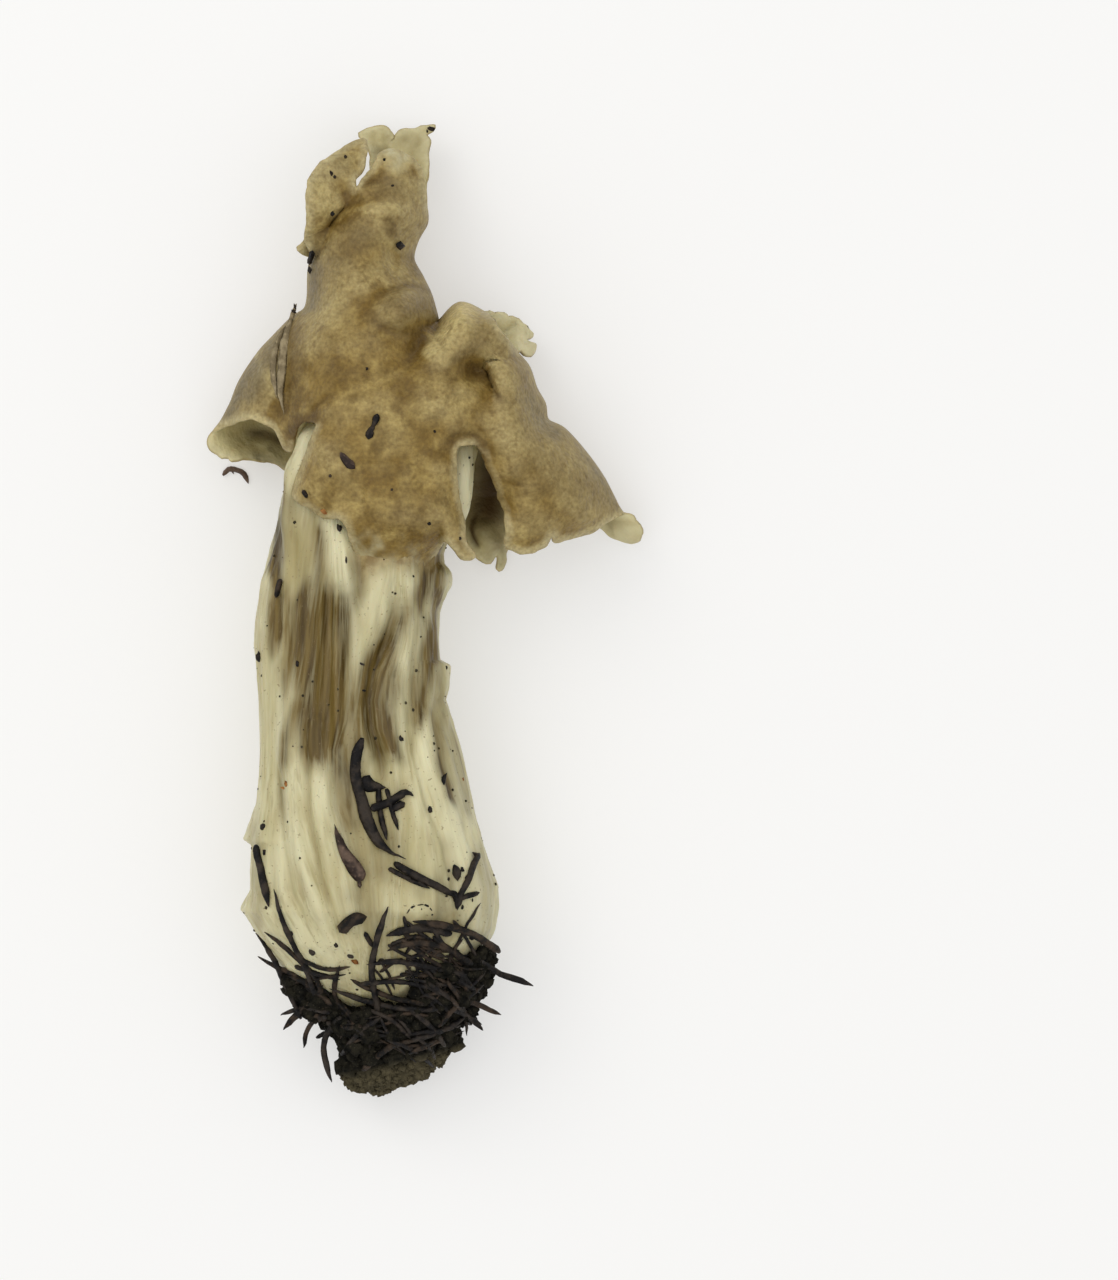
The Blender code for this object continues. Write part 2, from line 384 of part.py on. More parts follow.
def new_object(name, corners, faces, material):
    """A mesh object in metres from corners in millimetres."""
    mesh = bpy.data.meshes.new(name)
    mesh.from_pydata([tuple(value * MM for value in corner) for corner in corners], [], faces)
    mesh.materials.append(material)
    mesh.update()
    piece = bpy.data.objects.new(name, mesh)
    bpy.context.scene.collection.objects.link(piece)
    return piece


def new_material(name, colour, roughness):
    """A plain Principled material."""
    material = bpy.data.materials.new(name)
    material.use_nodes = True
    shader = material.node_tree.nodes["Principled BSDF"]
    shader.inputs["Base Color"].default_value = (*colour, 1.0)
    shader.inputs["Roughness"].default_value = roughness
    shader.inputs["Metallic"].default_value = 0.0
    return material


def shade(piece, angle=SHARP_SKIN):
    """Smooth shading, with sharp edges kept."""
    piece.data.shade_smooth()
    piece.data.set_sharp_from_angle(angle=math.radians(angle))


def make_cap(shape, material):
    """Front and back sheets, joined along the folds, then given thickness."""
    front, front_faces = shape.sheet("front")
    back, back_faces = shape.sheet("back")
    offset = len(front)
    faces = list(front_faces) + [tuple(offset + i for i in reversed(face)) for face in back_faces]
    piece = new_object("cap", front + back, faces, material)
    surface = bmesh.new()
    surface.from_mesh(piece.data)
    bmesh.ops.remove_doubles(surface, verts=surface.verts, dist=0.02 * MM)
    surface.to_mesh(piece.data)
    surface.free()
    flesh = piece.modifiers.new("flesh", "SOLIDIFY")
    flesh.thickness = CAP_THICKNESS * MM
    flesh.offset = 0.0
    flesh.use_quality_normals = True
    shade(piece)
    return piece


def rib_relief(x, y):
    """Height of the ribs and furrows at a place on the front of the stipe."""
    relief = 0.0
    for _, crest, half_width, height in RIBS:
        rows = [point[0] for point in reversed(crest)]
        across = float(np.interp(y, rows, [point[1] for point in reversed(crest)]))
        past = max(rows[0] - y, y - rows[-1], 0.0)
        fade = math.exp(-(past / RIB_TAPER) ** 2 * 4)
        relief += height * fade * math.exp(-((x - across) / half_width) ** 2)
    return relief


def stipe_point(angle, y, spread=0.0):
    """A point on the stipe's surface, or on the surface spread outside it."""
    left, right, top, belly = (float(np.interp(y, [row for row, _ in reversed(line)],
                                               [value for _, value in reversed(line)]))
                               for line in (STIPE_LEFT, STIPE_RIGHT, STIPE_TOP, STIPE_BELLY))
    power = 2 / SECTION_POWER
    cos, sin = math.cos(angle), math.sin(angle)
    half_width = (right - left) / 2
    half_height = (top - belly) / 2
    x = (left + right) / 2 + half_width * math.copysign(abs(cos) ** power, cos)
    z = (top + belly) / 2 + half_height * math.copysign(abs(sin) ** power, sin)
    outward = Vector((cos / half_width, sin / half_height)).normalized()
    front = min(max(sin * 2.2, 0.0), 1.0)
    wander = RIB_WANDER * math.sin(y * 2 * math.pi / WANDER_LENGTH + 3 * angle)
    twist = (RIB_TWIST * y + wander) * min(1.0, abs(sin) * 2)
    depth = GROOVE_DEPTH * (0.8 + 0.2 * math.sin(2 * angle + y * 4 / WANDER_LENGTH))
    behind = (math.cos(RIB_COUNT * angle + twist) - 1) * depth / 2
    above_socket = min(max((y - RIBS_END) / RIB_TAPER, 0.0), 1.0)
    relief = spread + above_socket * (front * rib_relief(x, y) + (1 - front) * behind)
    return x + outward.x * relief, y, z + outward.y * relief


def ring_solid(rings):
    """Corners and faces of a closed tube through rings of equal count."""
    count = len(rings[0])
    corners = [corner for ring in rings for corner in ring]
    faces = []
    for row in range(len(rings) - 1):
        for column in range(count):
            following = (column + 1) % count
            faces.append((row * count + column, row * count + following,
                          (row + 1) * count + following, (row + 1) * count + column))
    faces.append(tuple(reversed(range(count))))
    faces.append(tuple((len(rings) - 1) * count + column for column in range(count)))
    return corners, faces


def fix_normals(piece):
    """Faces split into triangles that all point outwards."""
    body = bmesh.new()
    body.from_mesh(piece.data)
    bmesh.ops.triangulate(body, faces=body.faces)
    bmesh.ops.recalc_face_normals(body, faces=body.faces)
    body.to_mesh(piece.data)
    body.free()


def make_stipe(shape, material):
    """A ribbed column with a flat belly, kept clear of the cap round it."""
    lowest = STIPE_LEFT[-1][0]
    highest = STIPE_LEFT[0][0]
    count = round((highest - lowest) / STIPE_STEP)
    rows = [lowest + (highest - lowest) * index / count for index in range(count + 1)]
    angles = [2 * math.pi * column / STIPE_COLUMNS for column in range(STIPE_COLUMNS)]
    rings = [[stipe_point(angle, y) for angle in angles] for y in rows]
    flat = np.array([(x, y) for ring in rings for x, y, z in ring])
    limits = {}
    for side in ("front", "back"):
        outline, margins = shape.sides[side]
        near = inside(flat, outline) | (distance_to(flat, margins) < 1.6)
        limits[side] = np.where(near & (flat[:, 1] > 4.0), shape.plateau[side](flat), np.nan)
    cleared = []
    reach = CAP_THICKNESS / 2 + CLEARANCE + 0.25
    for ring_index, ring in enumerate(rings):
        points = []
        for column, (x, y, z) in enumerate(ring):
            index = ring_index * STIPE_COLUMNS + column
            if not math.isnan(limits["front"][index]):
                z = min(z, limits["front"][index] - reach)
            if not math.isnan(limits["back"][index]):
                z = max(z, limits["back"][index] + reach)
            points.append((x, y, max(z, 0.0)))
        cleared.append(points)
    piece = new_object("stipe", *ring_solid(cleared), material)
    fix_normals(piece)
    shade(piece)
    return piece


def soil_lump(x, y, z):
    """Uneven surface of the soil, by formula."""
    return SOIL_LUMP * (math.sin(0.93 * x + 1.31 * z) + math.sin(1.17 * y - 0.71 * x + 1.0)
                        + 0.7 * math.sin(1.9 * z + 0.8 * y + 2.0)) / 1.6


def clod_rim(angle):
    """How far up the stipe the soil reaches at each angle round it."""
    return -52.6 + 2.4 * math.cos(angle) - 1.6 * math.sin(angle) + 0.9 * math.sin(5 * angle)


def clod_level(outline, y):
    """Where an outline of the clod lies at a station."""
    return float(np.interp(y, [row for row, _ in reversed(outline)], [value for _, value in reversed(outline)]))


def clod_point(angle, y):
    """A point on the outside of the clod, never thinner than its wall."""
    left, right, top, belly = (clod_level(outline, y) for outline in (CLOD_LEFT, CLOD_RIGHT, CLOD_TOP, CLOD_BELLY))
    cos, sin = math.cos(angle), math.sin(angle)
    half_width = (right - left) / 2
    half_height = (top - belly) / 2
    x = (left + right) / 2 + half_width * cos
    z = (top + belly) / 2 + half_height * sin
    relief = soil_lump(x, y, z)
    outer = (x + cos * relief, z + sin * relief)
    if y > SOCKET_END:
        hole = stipe_point(angle, max(y, STIPE_LEFT[-1][0]), CLEARANCE + SOIL_WALL)
        middle = ((left + right) / 2, (top + belly) / 2)
        if math.hypot(outer[0] - middle[0], outer[1] - middle[1]) < math.hypot(hole[0] - middle[0],
                                                                              hole[2] - middle[1]):
            outer = (hole[0], hole[2])
    return outer[0], y, max(outer[1], LOWEST_SOIL)


def make_clod_body(material):
    """A cup of soil whose plain socket holds the foot of the stipe."""
    angles = [2 * math.pi * column / CLOD_COLUMNS for column in range(CLOD_COLUMNS)]
    deepest = CLOD_LEFT[-1][0]
    rings = []
    for row in range(CLOD_SOCKET_ROWS):
        share = row / (CLOD_SOCKET_ROWS - 1)
        rings.append([stipe_point(angle, SOCKET_END + (clod_rim(angle) - SOCKET_END) * share,
                                  CLEARANCE + 0.1) for angle in angles])
    for row in range(CLOD_OUTER_ROWS):
        share = row / (CLOD_OUTER_ROWS - 1)
        rings.append([clod_point(angle, clod_rim(angle) + (deepest - clod_rim(angle)) * share)
                      for angle in angles])
    piece = new_object("soil_clod", *ring_solid(rings), material)
    fix_normals(piece)
    return piece


def needle_solid(line, width, thickness, sides=NEEDLE_SIDES):
    """A slim needle along a line in space, tapered towards both ends."""
    rings = []
    for index, centre in enumerate(line):
        along = (line[min(index + 1, len(line) - 1)] - line[max(index - 1, 0)]).normalized()
        across = along.cross(Vector((0, 0, 1))).normalized()
        up = across.cross(along)
        share = index / (len(line) - 1)
        taper = 0.45 + 0.55 * math.sin(math.pi * min(max(share, 0.04), 0.96)) ** 0.6
        rings.append([tuple(centre + across * (math.cos(turn) * width / 2 * taper)
                            + up * (math.sin(turn) * thickness / 2 * taper))
                      for turn in (2 * math.pi * side / sides for side in range(sides))])
    return ring_solid(rings)


def tree_of(pieces):
    """One search tree over several finished pieces, for laying things on them."""
    graph = bpy.context.evaluated_depsgraph_get()
    merged = bmesh.new()
    for piece in pieces:
        merged.from_mesh(piece.evaluated_get(graph).to_mesh())
        piece.evaluated_get(graph).to_mesh_clear()
    tree = BVHTree.FromBMesh(merged)
    merged.free()
    return tree


def top_of(tree, x, y):
    """Height in millimetres of what lies below a point, or None."""
    hit = tree.ray_cast(Vector((x, y, SKY)) * MM, Vector((0, 0, -1)))[0]
    return None if hit is None else hit.z / MM


def highest_near(tree, x, y, reach):
    """The highest surface within reach of a point, or None."""
    places = [(x, y)] + [(x + reach * math.cos(turn), y + reach * math.sin(turn))
                         for turn in (math.pi * step / 4 for step in range(8))]
    found = [top for top in (top_of(tree, *place) for place in places) if top is not None]
    return max(found) if found else None


def laid_line(points, width, thickness, tree):
    """A needle's line, resting just clear of what carries it."""
    line = curve_through(points, NEEDLE_STEP)
    share = np.linspace(0.0, 1.0, len(line))
    needed = []
    for point in line:
        top = highest_near(tree, point.x, point.y, width / 2 + 0.5) if tree else None
        needed.append(thickness / 2 if top is None else top + CLEARANCE + thickness / 2)
    bend = np.polyfit(share, needed, min(3, len(line) - 1))
    arc = np.polyval(bend, share)
    arc += max(0.0, float((np.array(needed) - arc).max()))
    return [Vector((point.x, point.y, height)) for point, height in zip(line, arc)]


def rooted_line(points, width, stipe_tree, clod_tree):
    """A needle's line, its root sunk in the clod and its tip clear of the stipe."""
    line = curve_through(points, NEEDLE_STEP)
    result = []
    for index, point in enumerate(line):
        share = index / (len(line) - 1)
        soil = highest_near(clod_tree, point.x, point.y, 0.0)
        wood = highest_near(stipe_tree, point.x, point.y, width / 2 + 0.5)
        levels = []
        if soil is not None:
            levels.append(soil - LITTER_SINK * (1 - share))
        if wood is not None:
            levels.append(wood + CLEARANCE + width / 2)
        if not levels:
            levels.append(result[-1].z - 0.6 if result else 6.0)
        result.append(Vector((point.x, point.y, max(levels))))
    heights = [point.z for point in result]
    for index in range(1, len(result) - 1):
        result[index].z = max(heights[index], (heights[index - 1] + heights[index + 1]) / 2)
    return result


def hidden_needle(rng):
    """A needle that leans out of the side or the underside of the clod."""
    turn = rng.uniform(math.radians(150), math.radians(390))
    y = rng.uniform(-67.0, -60.5)
    root = Vector(clod_point(turn, y))
    middle = Vector((-5.0, y, 10.0))
    outward = (root - middle).normalized()
    lean = Vector((rng.uniform(-0.5, 0.5), rng.uniform(-1.0, 0.6), rng.uniform(-0.1, 0.5)))
    along = (outward * 0.5 + lean).normalized()
    start = root - outward * 0.8
    reach = NEEDLE_LENGTH * rng.uniform(0.5, 0.8)
    line = [start + along * reach * step / 3 for step in range(4)]
    for point in line:
        point.y = max(point.y, LOWEST_NEEDLE)
        left = clod_level(CLOD_LEFT, point.y) + NEEDLE_INSET
        right = clod_level(CLOD_RIGHT, point.y) - NEEDLE_INSET
        point.x = min(max(point.x, left), right)
        point.z = max(point.z, 0.9)
    return line


def fuse(base, bodies, solver):
    """Join the bodies to the base by one Boolean union, and apply it."""
    group = bpy.data.collections.new(base.name + "_parts")
    bpy.context.scene.collection.children.link(group)
    for body in bodies:
        bpy.context.scene.collection.objects.unlink(body)
        group.objects.link(body)
    union = base.modifiers.new("union", "BOOLEAN")
    union.operation = "UNION"
    union.operand_type = "COLLECTION"
    union.collection = group
    union.solver = solver
    graph = bpy.context.evaluated_depsgraph_get()
    joined = bpy.data.meshes.new_from_object(base.evaluated_get(graph))
    base.modifiers.remove(union)
    base.data = joined
    for body in bodies:
        bpy.data.objects.remove(body)
    bpy.data.collections.remove(group)


def keep_largest(piece):
    """Drop loose scraps and sealed hollows: only the largest shell stays."""
    body = bmesh.new()
    body.from_mesh(piece.data)
    bmesh.ops.triangulate(body, faces=body.faces)
    unseen = set(body.verts)
    shells = []
    while unseen:
        stack = [unseen.pop()]
        shell = set(stack)
        while stack:
            for edge in stack.pop().link_edges:
                for vertex in edge.verts:
                    if vertex in unseen:
                        unseen.discard(vertex)
                        shell.add(vertex)
                        stack.append(vertex)
        shells.append(shell)
    shells.sort(key=len)
    scraps = [vertex for shell in shells[:-1] for vertex in shell]
    bmesh.ops.delete(body, geom=scraps, context="VERTS")
    body.to_mesh(piece.data)
    body.free()


def make_clod(stipe, soil, litter):
    """The clod with the needles that are stuck in it."""
    clod = make_clod_body(soil)
    stipe_tree = tree_of([stipe])
    clod_tree = tree_of([clod])
    rng = random.Random(LITTER_SEED)
    lines = [(rooted_line(points, width, stipe_tree, clod_tree), width) for points, width in CLOD_NEEDLES]
    lines += [(hidden_needle(rng), 1.1) for _ in range(HIDDEN_NEEDLES)]
    bodies = []
    for index, (line, width) in enumerate(lines):
        body = new_object(f"needle_{index}", *needle_solid(line, width, width * 0.8), litter)
        fix_normals(body)
        bodies.append(body)
    fuse(clod, bodies, "MANIFOLD")
    keep_largest(clod)
    shade(clod, SHARP_LITTER)
    return clod


def make_loose_litter(carriers, material):
    """Needles, chips and a dry blade that lie on the stipe and the cap."""
    for name, carrier, parts in LOOSE_LITTER:
        bodies = []
        for index, (points, width, thickness) in enumerate(parts):
            line = laid_line(points, width, thickness, carriers.get(carrier))
            body = new_object(name if index == 0 else f"{name}_{index}",
                              *needle_solid(line, width, thickness), material)
            fix_normals(body)
            bodies.append(body)
        if len(bodies) > 1:
            fuse(bodies[0], bodies[1:], "EXACT")
            keep_largest(bodies[0])
        shade(bodies[0], SHARP_LITTER)


def main():
    for leftover in list(bpy.data.objects):
        bpy.data.objects.remove(leftover)
    cap_skin = new_material("cap_skin", (0.25, 0.18, 0.07), 0.55)
    stipe_flesh = new_material("stipe_flesh", (0.55, 0.50, 0.31), 0.5)
    soil = new_material("soil", (0.035, 0.03, 0.022), 0.95)
    dry_litter = new_material("dry_litter", (0.034, 0.028, 0.022), 0.7)
    shape = CapShape(CAP_STEP)
    cap = make_cap(shape, cap_skin)
    stipe = make_stipe(shape, stipe_flesh)
    clod = make_clod(stipe, soil, dry_litter)
    carriers = {"stipe": tree_of([stipe, clod]), "cap": tree_of([cap])}
    make_loose_litter(carriers, dry_litter)


main()
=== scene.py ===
# %% [markdown]
# # A picked saddle fungus
# The real thing is one fruit body: a cap that is a thin brown sheet, folded over a fluted cream
# stipe, with a clod of forest soil and dead conifer needles still stuck to its foot.
# It lies on its side and the camera looks straight down on it.
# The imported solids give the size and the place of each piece. This lesson makes the finer
# surfaces that stand for them: first the outlines of the stipe and the cap, then the
# materials, then the cap, the stipe, the soil and the litter.

# %% Load the frame
import math

import bmesh
import bpy
import numpy as np
from mathutils import Matrix, Vector
from mathutils.bvhtree import BVHTree
from mathutils.geometry import delaunay_2d_cdt


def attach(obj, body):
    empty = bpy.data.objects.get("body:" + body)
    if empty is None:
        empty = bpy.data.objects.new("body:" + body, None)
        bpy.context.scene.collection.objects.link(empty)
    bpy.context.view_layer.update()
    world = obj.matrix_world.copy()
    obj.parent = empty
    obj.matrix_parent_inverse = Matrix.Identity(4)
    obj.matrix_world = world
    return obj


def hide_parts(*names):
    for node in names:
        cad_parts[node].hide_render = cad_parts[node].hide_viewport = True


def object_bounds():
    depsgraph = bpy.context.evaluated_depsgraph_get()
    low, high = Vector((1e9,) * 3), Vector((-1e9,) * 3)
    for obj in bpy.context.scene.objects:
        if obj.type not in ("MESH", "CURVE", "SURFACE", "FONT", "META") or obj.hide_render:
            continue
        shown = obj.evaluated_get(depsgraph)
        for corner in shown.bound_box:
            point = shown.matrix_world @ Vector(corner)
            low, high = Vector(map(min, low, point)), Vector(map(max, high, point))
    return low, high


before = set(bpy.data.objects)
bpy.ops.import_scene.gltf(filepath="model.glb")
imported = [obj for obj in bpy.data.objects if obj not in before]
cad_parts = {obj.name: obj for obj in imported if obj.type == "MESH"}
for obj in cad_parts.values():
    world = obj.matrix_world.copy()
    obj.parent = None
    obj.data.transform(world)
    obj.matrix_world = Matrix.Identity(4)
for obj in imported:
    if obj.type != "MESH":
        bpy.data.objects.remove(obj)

MM = 0.001
cad_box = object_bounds()
low, high = ([round(value / MM, 1) for value in corner] for corner in cad_box)
print("solids from", low, "to", high)

# %% [markdown]
# ## Camera, floor and light
# A flat copy-stand picture has almost no perspective, so the camera is high above the table with
# a long lens. The lens is worked out from the width of table that one picture should hold.
# The light in such a picture is a bright, even surround with one soft source to the upper left,
# which leaves only faint grey shadows to the right of the fungus.

# %% Camera
FRAME_HEIGHT = 184.3       # millimetres of table from the picture's bottom to its top
CAMERA_HEIGHT = 1200.0
FOCUS_HEIGHT = 15.0        # the height at which the frame has that size
CAMERA_X, CAMERA_Y = 19.4, -4.4
SENSOR = 36.0

lens = bpy.data.cameras.new("copy_stand")
lens.sensor_fit = "VERTICAL"
lens.sensor_height = SENSOR
lens.lens = SENSOR * (CAMERA_HEIGHT - FOCUS_HEIGHT) / FRAME_HEIGHT
lens.clip_end = 10.0
camera = bpy.data.objects.new("copy_stand", lens)
camera.location = (CAMERA_X * MM, CAMERA_Y * MM, CAMERA_HEIGHT * MM)
bpy.context.scene.collection.objects.link(camera)
bpy.context.scene.camera = camera
print("lens", round(lens.lens, 1), "mm")

# %% Floor and light
HORIZON_LIGHT = 0.12
ZENITH_LIGHT = 1.30
scene = bpy.context.scene
scene.view_settings.view_transform = "Standard"

world = bpy.data.worlds.new("pale_surround")
world.use_nodes = True
sky = world.node_tree
surround = sky.nodes["Background"]
surround.inputs["Color"].default_value = (0.985, 0.99, 1.0, 1.0)
direction = sky.nodes.new("ShaderNodeTexCoord")
parts = sky.nodes.new("ShaderNodeSeparateXYZ")
rise = sky.nodes.new("ShaderNodeMapRange")
rise.inputs["To Min"].default_value = HORIZON_LIGHT
rise.inputs["To Max"].default_value = ZENITH_LIGHT
sky.links.new(direction.outputs["Generated"], parts.inputs["Vector"])
sky.links.new(parts.outputs["Z"], rise.inputs["Value"])
sky.links.new(rise.outputs["Result"], surround.inputs["Strength"])
scene.world = world


def area_light(name, place, target, size, power):
    """A soft square lamp at a place in metres that faces a target."""
    lamp = bpy.data.lights.new(name, "AREA")
    lamp.size = size
    lamp.energy = power
    lamp.color = (1.0, 0.985, 0.95)
    holder = bpy.data.objects.new(name, lamp)
    holder.location = place
    holder.rotation_euler = (Vector(target) - Vector(place)).to_track_quat("-Z", "Y").to_euler()
    scene.collection.objects.link(holder)


area_light("soft_window", (-0.55, 0.55, 0.75), (0.0, 0.0, 0.0), 0.5, 1.6)

floor_mesh = bpy.data.meshes.new("table")
half = 3.0
floor_mesh.from_pydata([(-half, -half, 0), (half, -half, 0), (half, half, 0), (-half, half, 0)],
                       [], [(0, 1, 2, 3)])
floor = bpy.data.objects.new("table", floor_mesh)
floor.location.z = -0.0001
scene.collection.objects.link(floor)
paper = bpy.data.materials.new("pale_paper")
paper.use_nodes = True
paper_shader = paper.node_tree.nodes["Principled BSDF"]
paper_shader.inputs["Base Color"].default_value = (0.555, 0.550, 0.540, 1.0)
paper_shader.inputs["Emission Color"].default_value = (1.0, 0.995, 0.975, 1.0)
paper_shader.inputs["Emission Strength"].default_value = 0.40
paper_shader.inputs["Roughness"].default_value = 0.9
paper_shader.inputs["Specular IOR Level"].default_value = 0.1
floor_mesh.materials.append(paper)
print("floor and light ready")

# %% [markdown]
# ## Tools for organic surfaces
# Three helpers carry most of the work. `curve_through` turns a few given points into a
# smooth line. `height_surface` bends a thin plate through a few heights, as a draper pins cloth.
# `lumps` is smooth noise on numpy arrays, quick enough for a hundred thousand points at once;
# calling a noise function point by point from Python would be several times slower.

# %% Smooth lines and thin plates
def curve_through(points, step):
    """Evenly spaced points on the smooth curve through a list of points."""
    places = [Vector(point) for point in points]
    line = [places[0]]
    for index in range(len(places) - 1):
        before = places[max(index - 1, 0)]
        start = places[index]
        end = places[index + 1]
        after = places[min(index + 2, len(places) - 1)]
        pieces = max(1, round((end - start).length / step))
        for piece in range(1, pieces + 1):
            t = piece / pieces
            line.append(0.5 * (2 * start + (end - before) * t
                               + (2 * before - 5 * start + 4 * end - after) * t ** 2
                               + (3 * start - before - 3 * end + after) * t ** 3))
    return line


def height_surface(spots):
    """A thin-plate surface that passes close to spots of (x, y, height)."""
    table = np.array(spots, dtype=float)
    centres = table[:, :2]
    count = len(spots)
    stiffness = 0.5

    def plate(points):
        square = ((points[:, None, :] - centres[None, :, :]) ** 2).sum(axis=2)
        return square * np.log(square + 1e-9)

    plane = np.hstack([np.ones((count, 1)), centres])
    system = np.zeros((count + 3, count + 3))
    system[:count, :count] = plate(centres) + stiffness * np.eye(count)
    system[:count, count:] = plane
    system[count:, :count] = plane.T
    weights = np.linalg.solve(system, np.append(table[:, 2], [0.0, 0.0, 0.0]))

    def height(points):
        flat = np.hstack([np.ones((len(points), 1)), points])
        return plate(points) @ weights[:count] + flat @ weights[count:]

    return height


# %% Distances, outlines and noise
def distance_to(points, line):
    """Shortest distance from each point to an open line, and how far along it that is."""
    corners = np.array([(p[0], p[1]) for p in line])
    nearest = np.full(len(points), 1e9)
    place = np.zeros(len(points))
    run = 0.0
    for start, end in zip(corners[:-1], corners[1:]):
        along = end - start
        length = math.hypot(*along)
        share = np.clip(((points - start) @ along) / (length * length + 1e-12), 0.0, 1.0)
        gap = points - (start + share[:, None] * along)
        distance = np.hypot(gap[:, 0], gap[:, 1])
        closer = distance < nearest
        nearest = np.where(closer, distance, nearest)
        place = np.where(closer, run + share * length, place)
        run += length
    return nearest, place


def inside(points, outline):
    """Which points lie inside a closed outline."""
    result = np.zeros(len(points), dtype=bool)
    for start, end in zip(outline, outline[1:] + outline[:1]):
        crosses = (start[1] > points[:, 1]) != (end[1] > points[:, 1])
        rise = (end[1] - start[1]) or 1e-12
        reach = (end[0] - start[0]) * (points[:, 1] - start[1]) / rise + start[0]
        result ^= crosses & (points[:, 0] < reach)
    return result


def lumps(points, size, seed):
    """Smooth noise from -1 to 1 at points in millimetres, one lump to each size."""
    table = np.random.RandomState(seed).uniform(-1.0, 1.0, 4096)
    scaled = np.asarray(points, dtype=float) / size
    cell = np.floor(scaled).astype(np.int64)
    part = scaled - cell
    part = part * part * (3.0 - 2.0 * part)
    total = np.zeros(len(scaled))
    for corner in range(8):
        step = np.array([corner & 1, corner >> 1 & 1, corner >> 2 & 1])
        weight = np.prod(np.where(step, part, 1.0 - part), axis=1)
        key = (cell + step) @ np.array([73856093, 19349663, 83492791])
        total += weight * table[np.abs(key) % 4096]
    return total


def bell(distance, width):
    """1 on a line or at a spot, falling smoothly to 0 a few widths away."""
    return np.exp(-(distance / width) ** 2)


def pressed(points, line, half_width):
    """How strongly a soft line is felt: full along its middle, fading at its ends."""
    smooth = curve_through(line, 1.0)
    distance, place = distance_to(points, smooth)
    length = sum((b - a).length for a, b in zip(smooth[:-1], smooth[1:]))
    ends = np.clip(np.minimum(place, length - place) / (0.35 * length), 0.0, 1.0)
    return bell(distance, half_width) * (0.15 + 0.85 * ends * ends * (3 - 2 * ends))


print("a lump test:", round(float(lumps(np.array([[1.0, 2.0, 3.0]]), 2.0, 1)[0]), 3))


# %% Meshes from arrays
def to_object(name, corners, faces, **values):
    """A mesh object in metres from corners in millimetres, with a float attribute for each value."""
    mesh = bpy.data.meshes.new(name)
    mesh.from_pydata((np.asarray(corners) * MM).tolist(), [], [list(face) for face in faces])
    for key, numbers in values.items():
        layer = mesh.attributes.new(key, "FLOAT", "POINT")
        layer.data.foreach_set("value", np.asarray(numbers, dtype=np.float32))
    mesh.update()
    mesh.shade_smooth()
    piece = bpy.data.objects.new(name, mesh)
    scene.collection.objects.link(piece)
    return piece


def corner_normals(corners, triangles):
    """Outward direction at each corner of a triangle mesh."""
    a, b, c = (corners[triangles[:, index]] for index in range(3))
    facing = np.cross(b - a, c - a)
    total = np.zeros_like(corners)
    for index in range(3):
        np.add.at(total, triangles[:, index], facing)
    return total / (np.linalg.norm(total, axis=1, keepdims=True) + 1e-12)


def grid_faces(rows, columns):
    """Faces of a tube of rings, counted so that they face outwards when the rings run up +Y."""
    row, column = np.meshgrid(np.arange(rows - 1), np.arange(columns), indexing="ij")
    row, column = row.ravel(), column.ravel()
    following = (column + 1) % columns
    return np.stack([row * columns + column, (row + 1) * columns + column,
                     (row + 1) * columns + following, row * columns + following], axis=1)


def search_tree(piece):
    """A tree for finding what lies below a point of a finished piece."""
    return BVHTree.FromObject(piece, bpy.context.evaluated_depsgraph_get())


RAY_START = 80.0           # millimetres up, above everything


def top_of(trees, x, y):
    """The highest surface under a point in millimetres, or None."""
    heights = []
    for tree in trees:
        hit = tree.ray_cast(Vector((x, y, RAY_START)) * MM, Vector((0, 0, -1)))[0]
        if hit is not None:
            heights.append(hit.z / MM)
    return max(heights) if heights else None


# %% [markdown]
# ## The stipe
# The stipe of such a fungus is a bundle of ribs with deep furrows between them, wider at the foot.
# It could be sculpted, but ribs that run the whole length follow a rule: each one is a line of
# points (y, x) down its crest, with a width and a height. Furrows are ribs with a negative
# height. A grid of rings along Y takes its outline from four curves, then the ribs push it in
# and out, and last come fibres, which are noise stretched along the stipe.
# Smoky stains lie in the furrows and clean white flesh between them; some white marks also paint
# light onto the right flank and into the slits of the cap, and the depth of the relief paints
# shade into the furrows and highlights onto the crests. All are measured on the same mesh and
# kept as attributes for the material to read, so that colour and relief agree.

# %% Outline of the stipe
STIPE_LEFT = [
    (31, -8), (30, -12), (28, -15.6), (25.5, -17.4), (22.5, -18.5), (20.5, -19.4), (17, -20.4),
    (14, -21.2), (10, -22.1), (4, -23.5), (-2, -24.4), (-5, -24.6), (-12, -24.1), (-20, -23.8),
    (-24, -23.8), (-28, -24.4), (-33, -25), (-38, -25.2), (-43, -25.2), (-46.5, -24.3), (-48.5, -23),
    (-52, -20.3), (-55, -17), (-58, -12.5), (-60, -8.5)]
STIPE_RIGHT = [
    (31, -3), (29, 2.6), (26, 6), (23, 7.4), (20, 6.9), (16, 6.1), (12.8, 5.4), (10.5, 3.6), (8, 2.7),
    (6.5, 2.8), (5, 3.3), (3.5, 3.3), (2, 2.6), (0, 2.3), (-4, 2.1), (-8, 2.3), (-13, 3), (-16, 4.1),
    (-21, 5.5), (-27, 6.8), (-33, 8.3), (-38, 10), (-40, 10.7), (-43, 10.7), (-46, 10.3), (-49, 8.6),
    (-52, 6.6), (-55, 4.2), (-58, 0.5), (-60, -3.5)]
STIPE_TOP = [
    (31, 15.5), (29, 19), (26, 21.4), (20, 22.8), (12, 23.6), (4, 24), (-5, 24), (-15, 24.4), (-25, 25.4),
    (-35, 26.4), (-43, 26.4), (-48, 24.6), (-52, 21.5), (-55, 18.5), (-58, 15), (-60, 12)]
STIPE_BELLY = [
    (31, 11), (29, 7), (26, 4.4), (20, 3), (13, 2.2), (5, -1.6), (-43, -1.9), (-47, 0), (-50, 2.4),
    (-55, 4.6), (-58, 7), (-60, 9)]
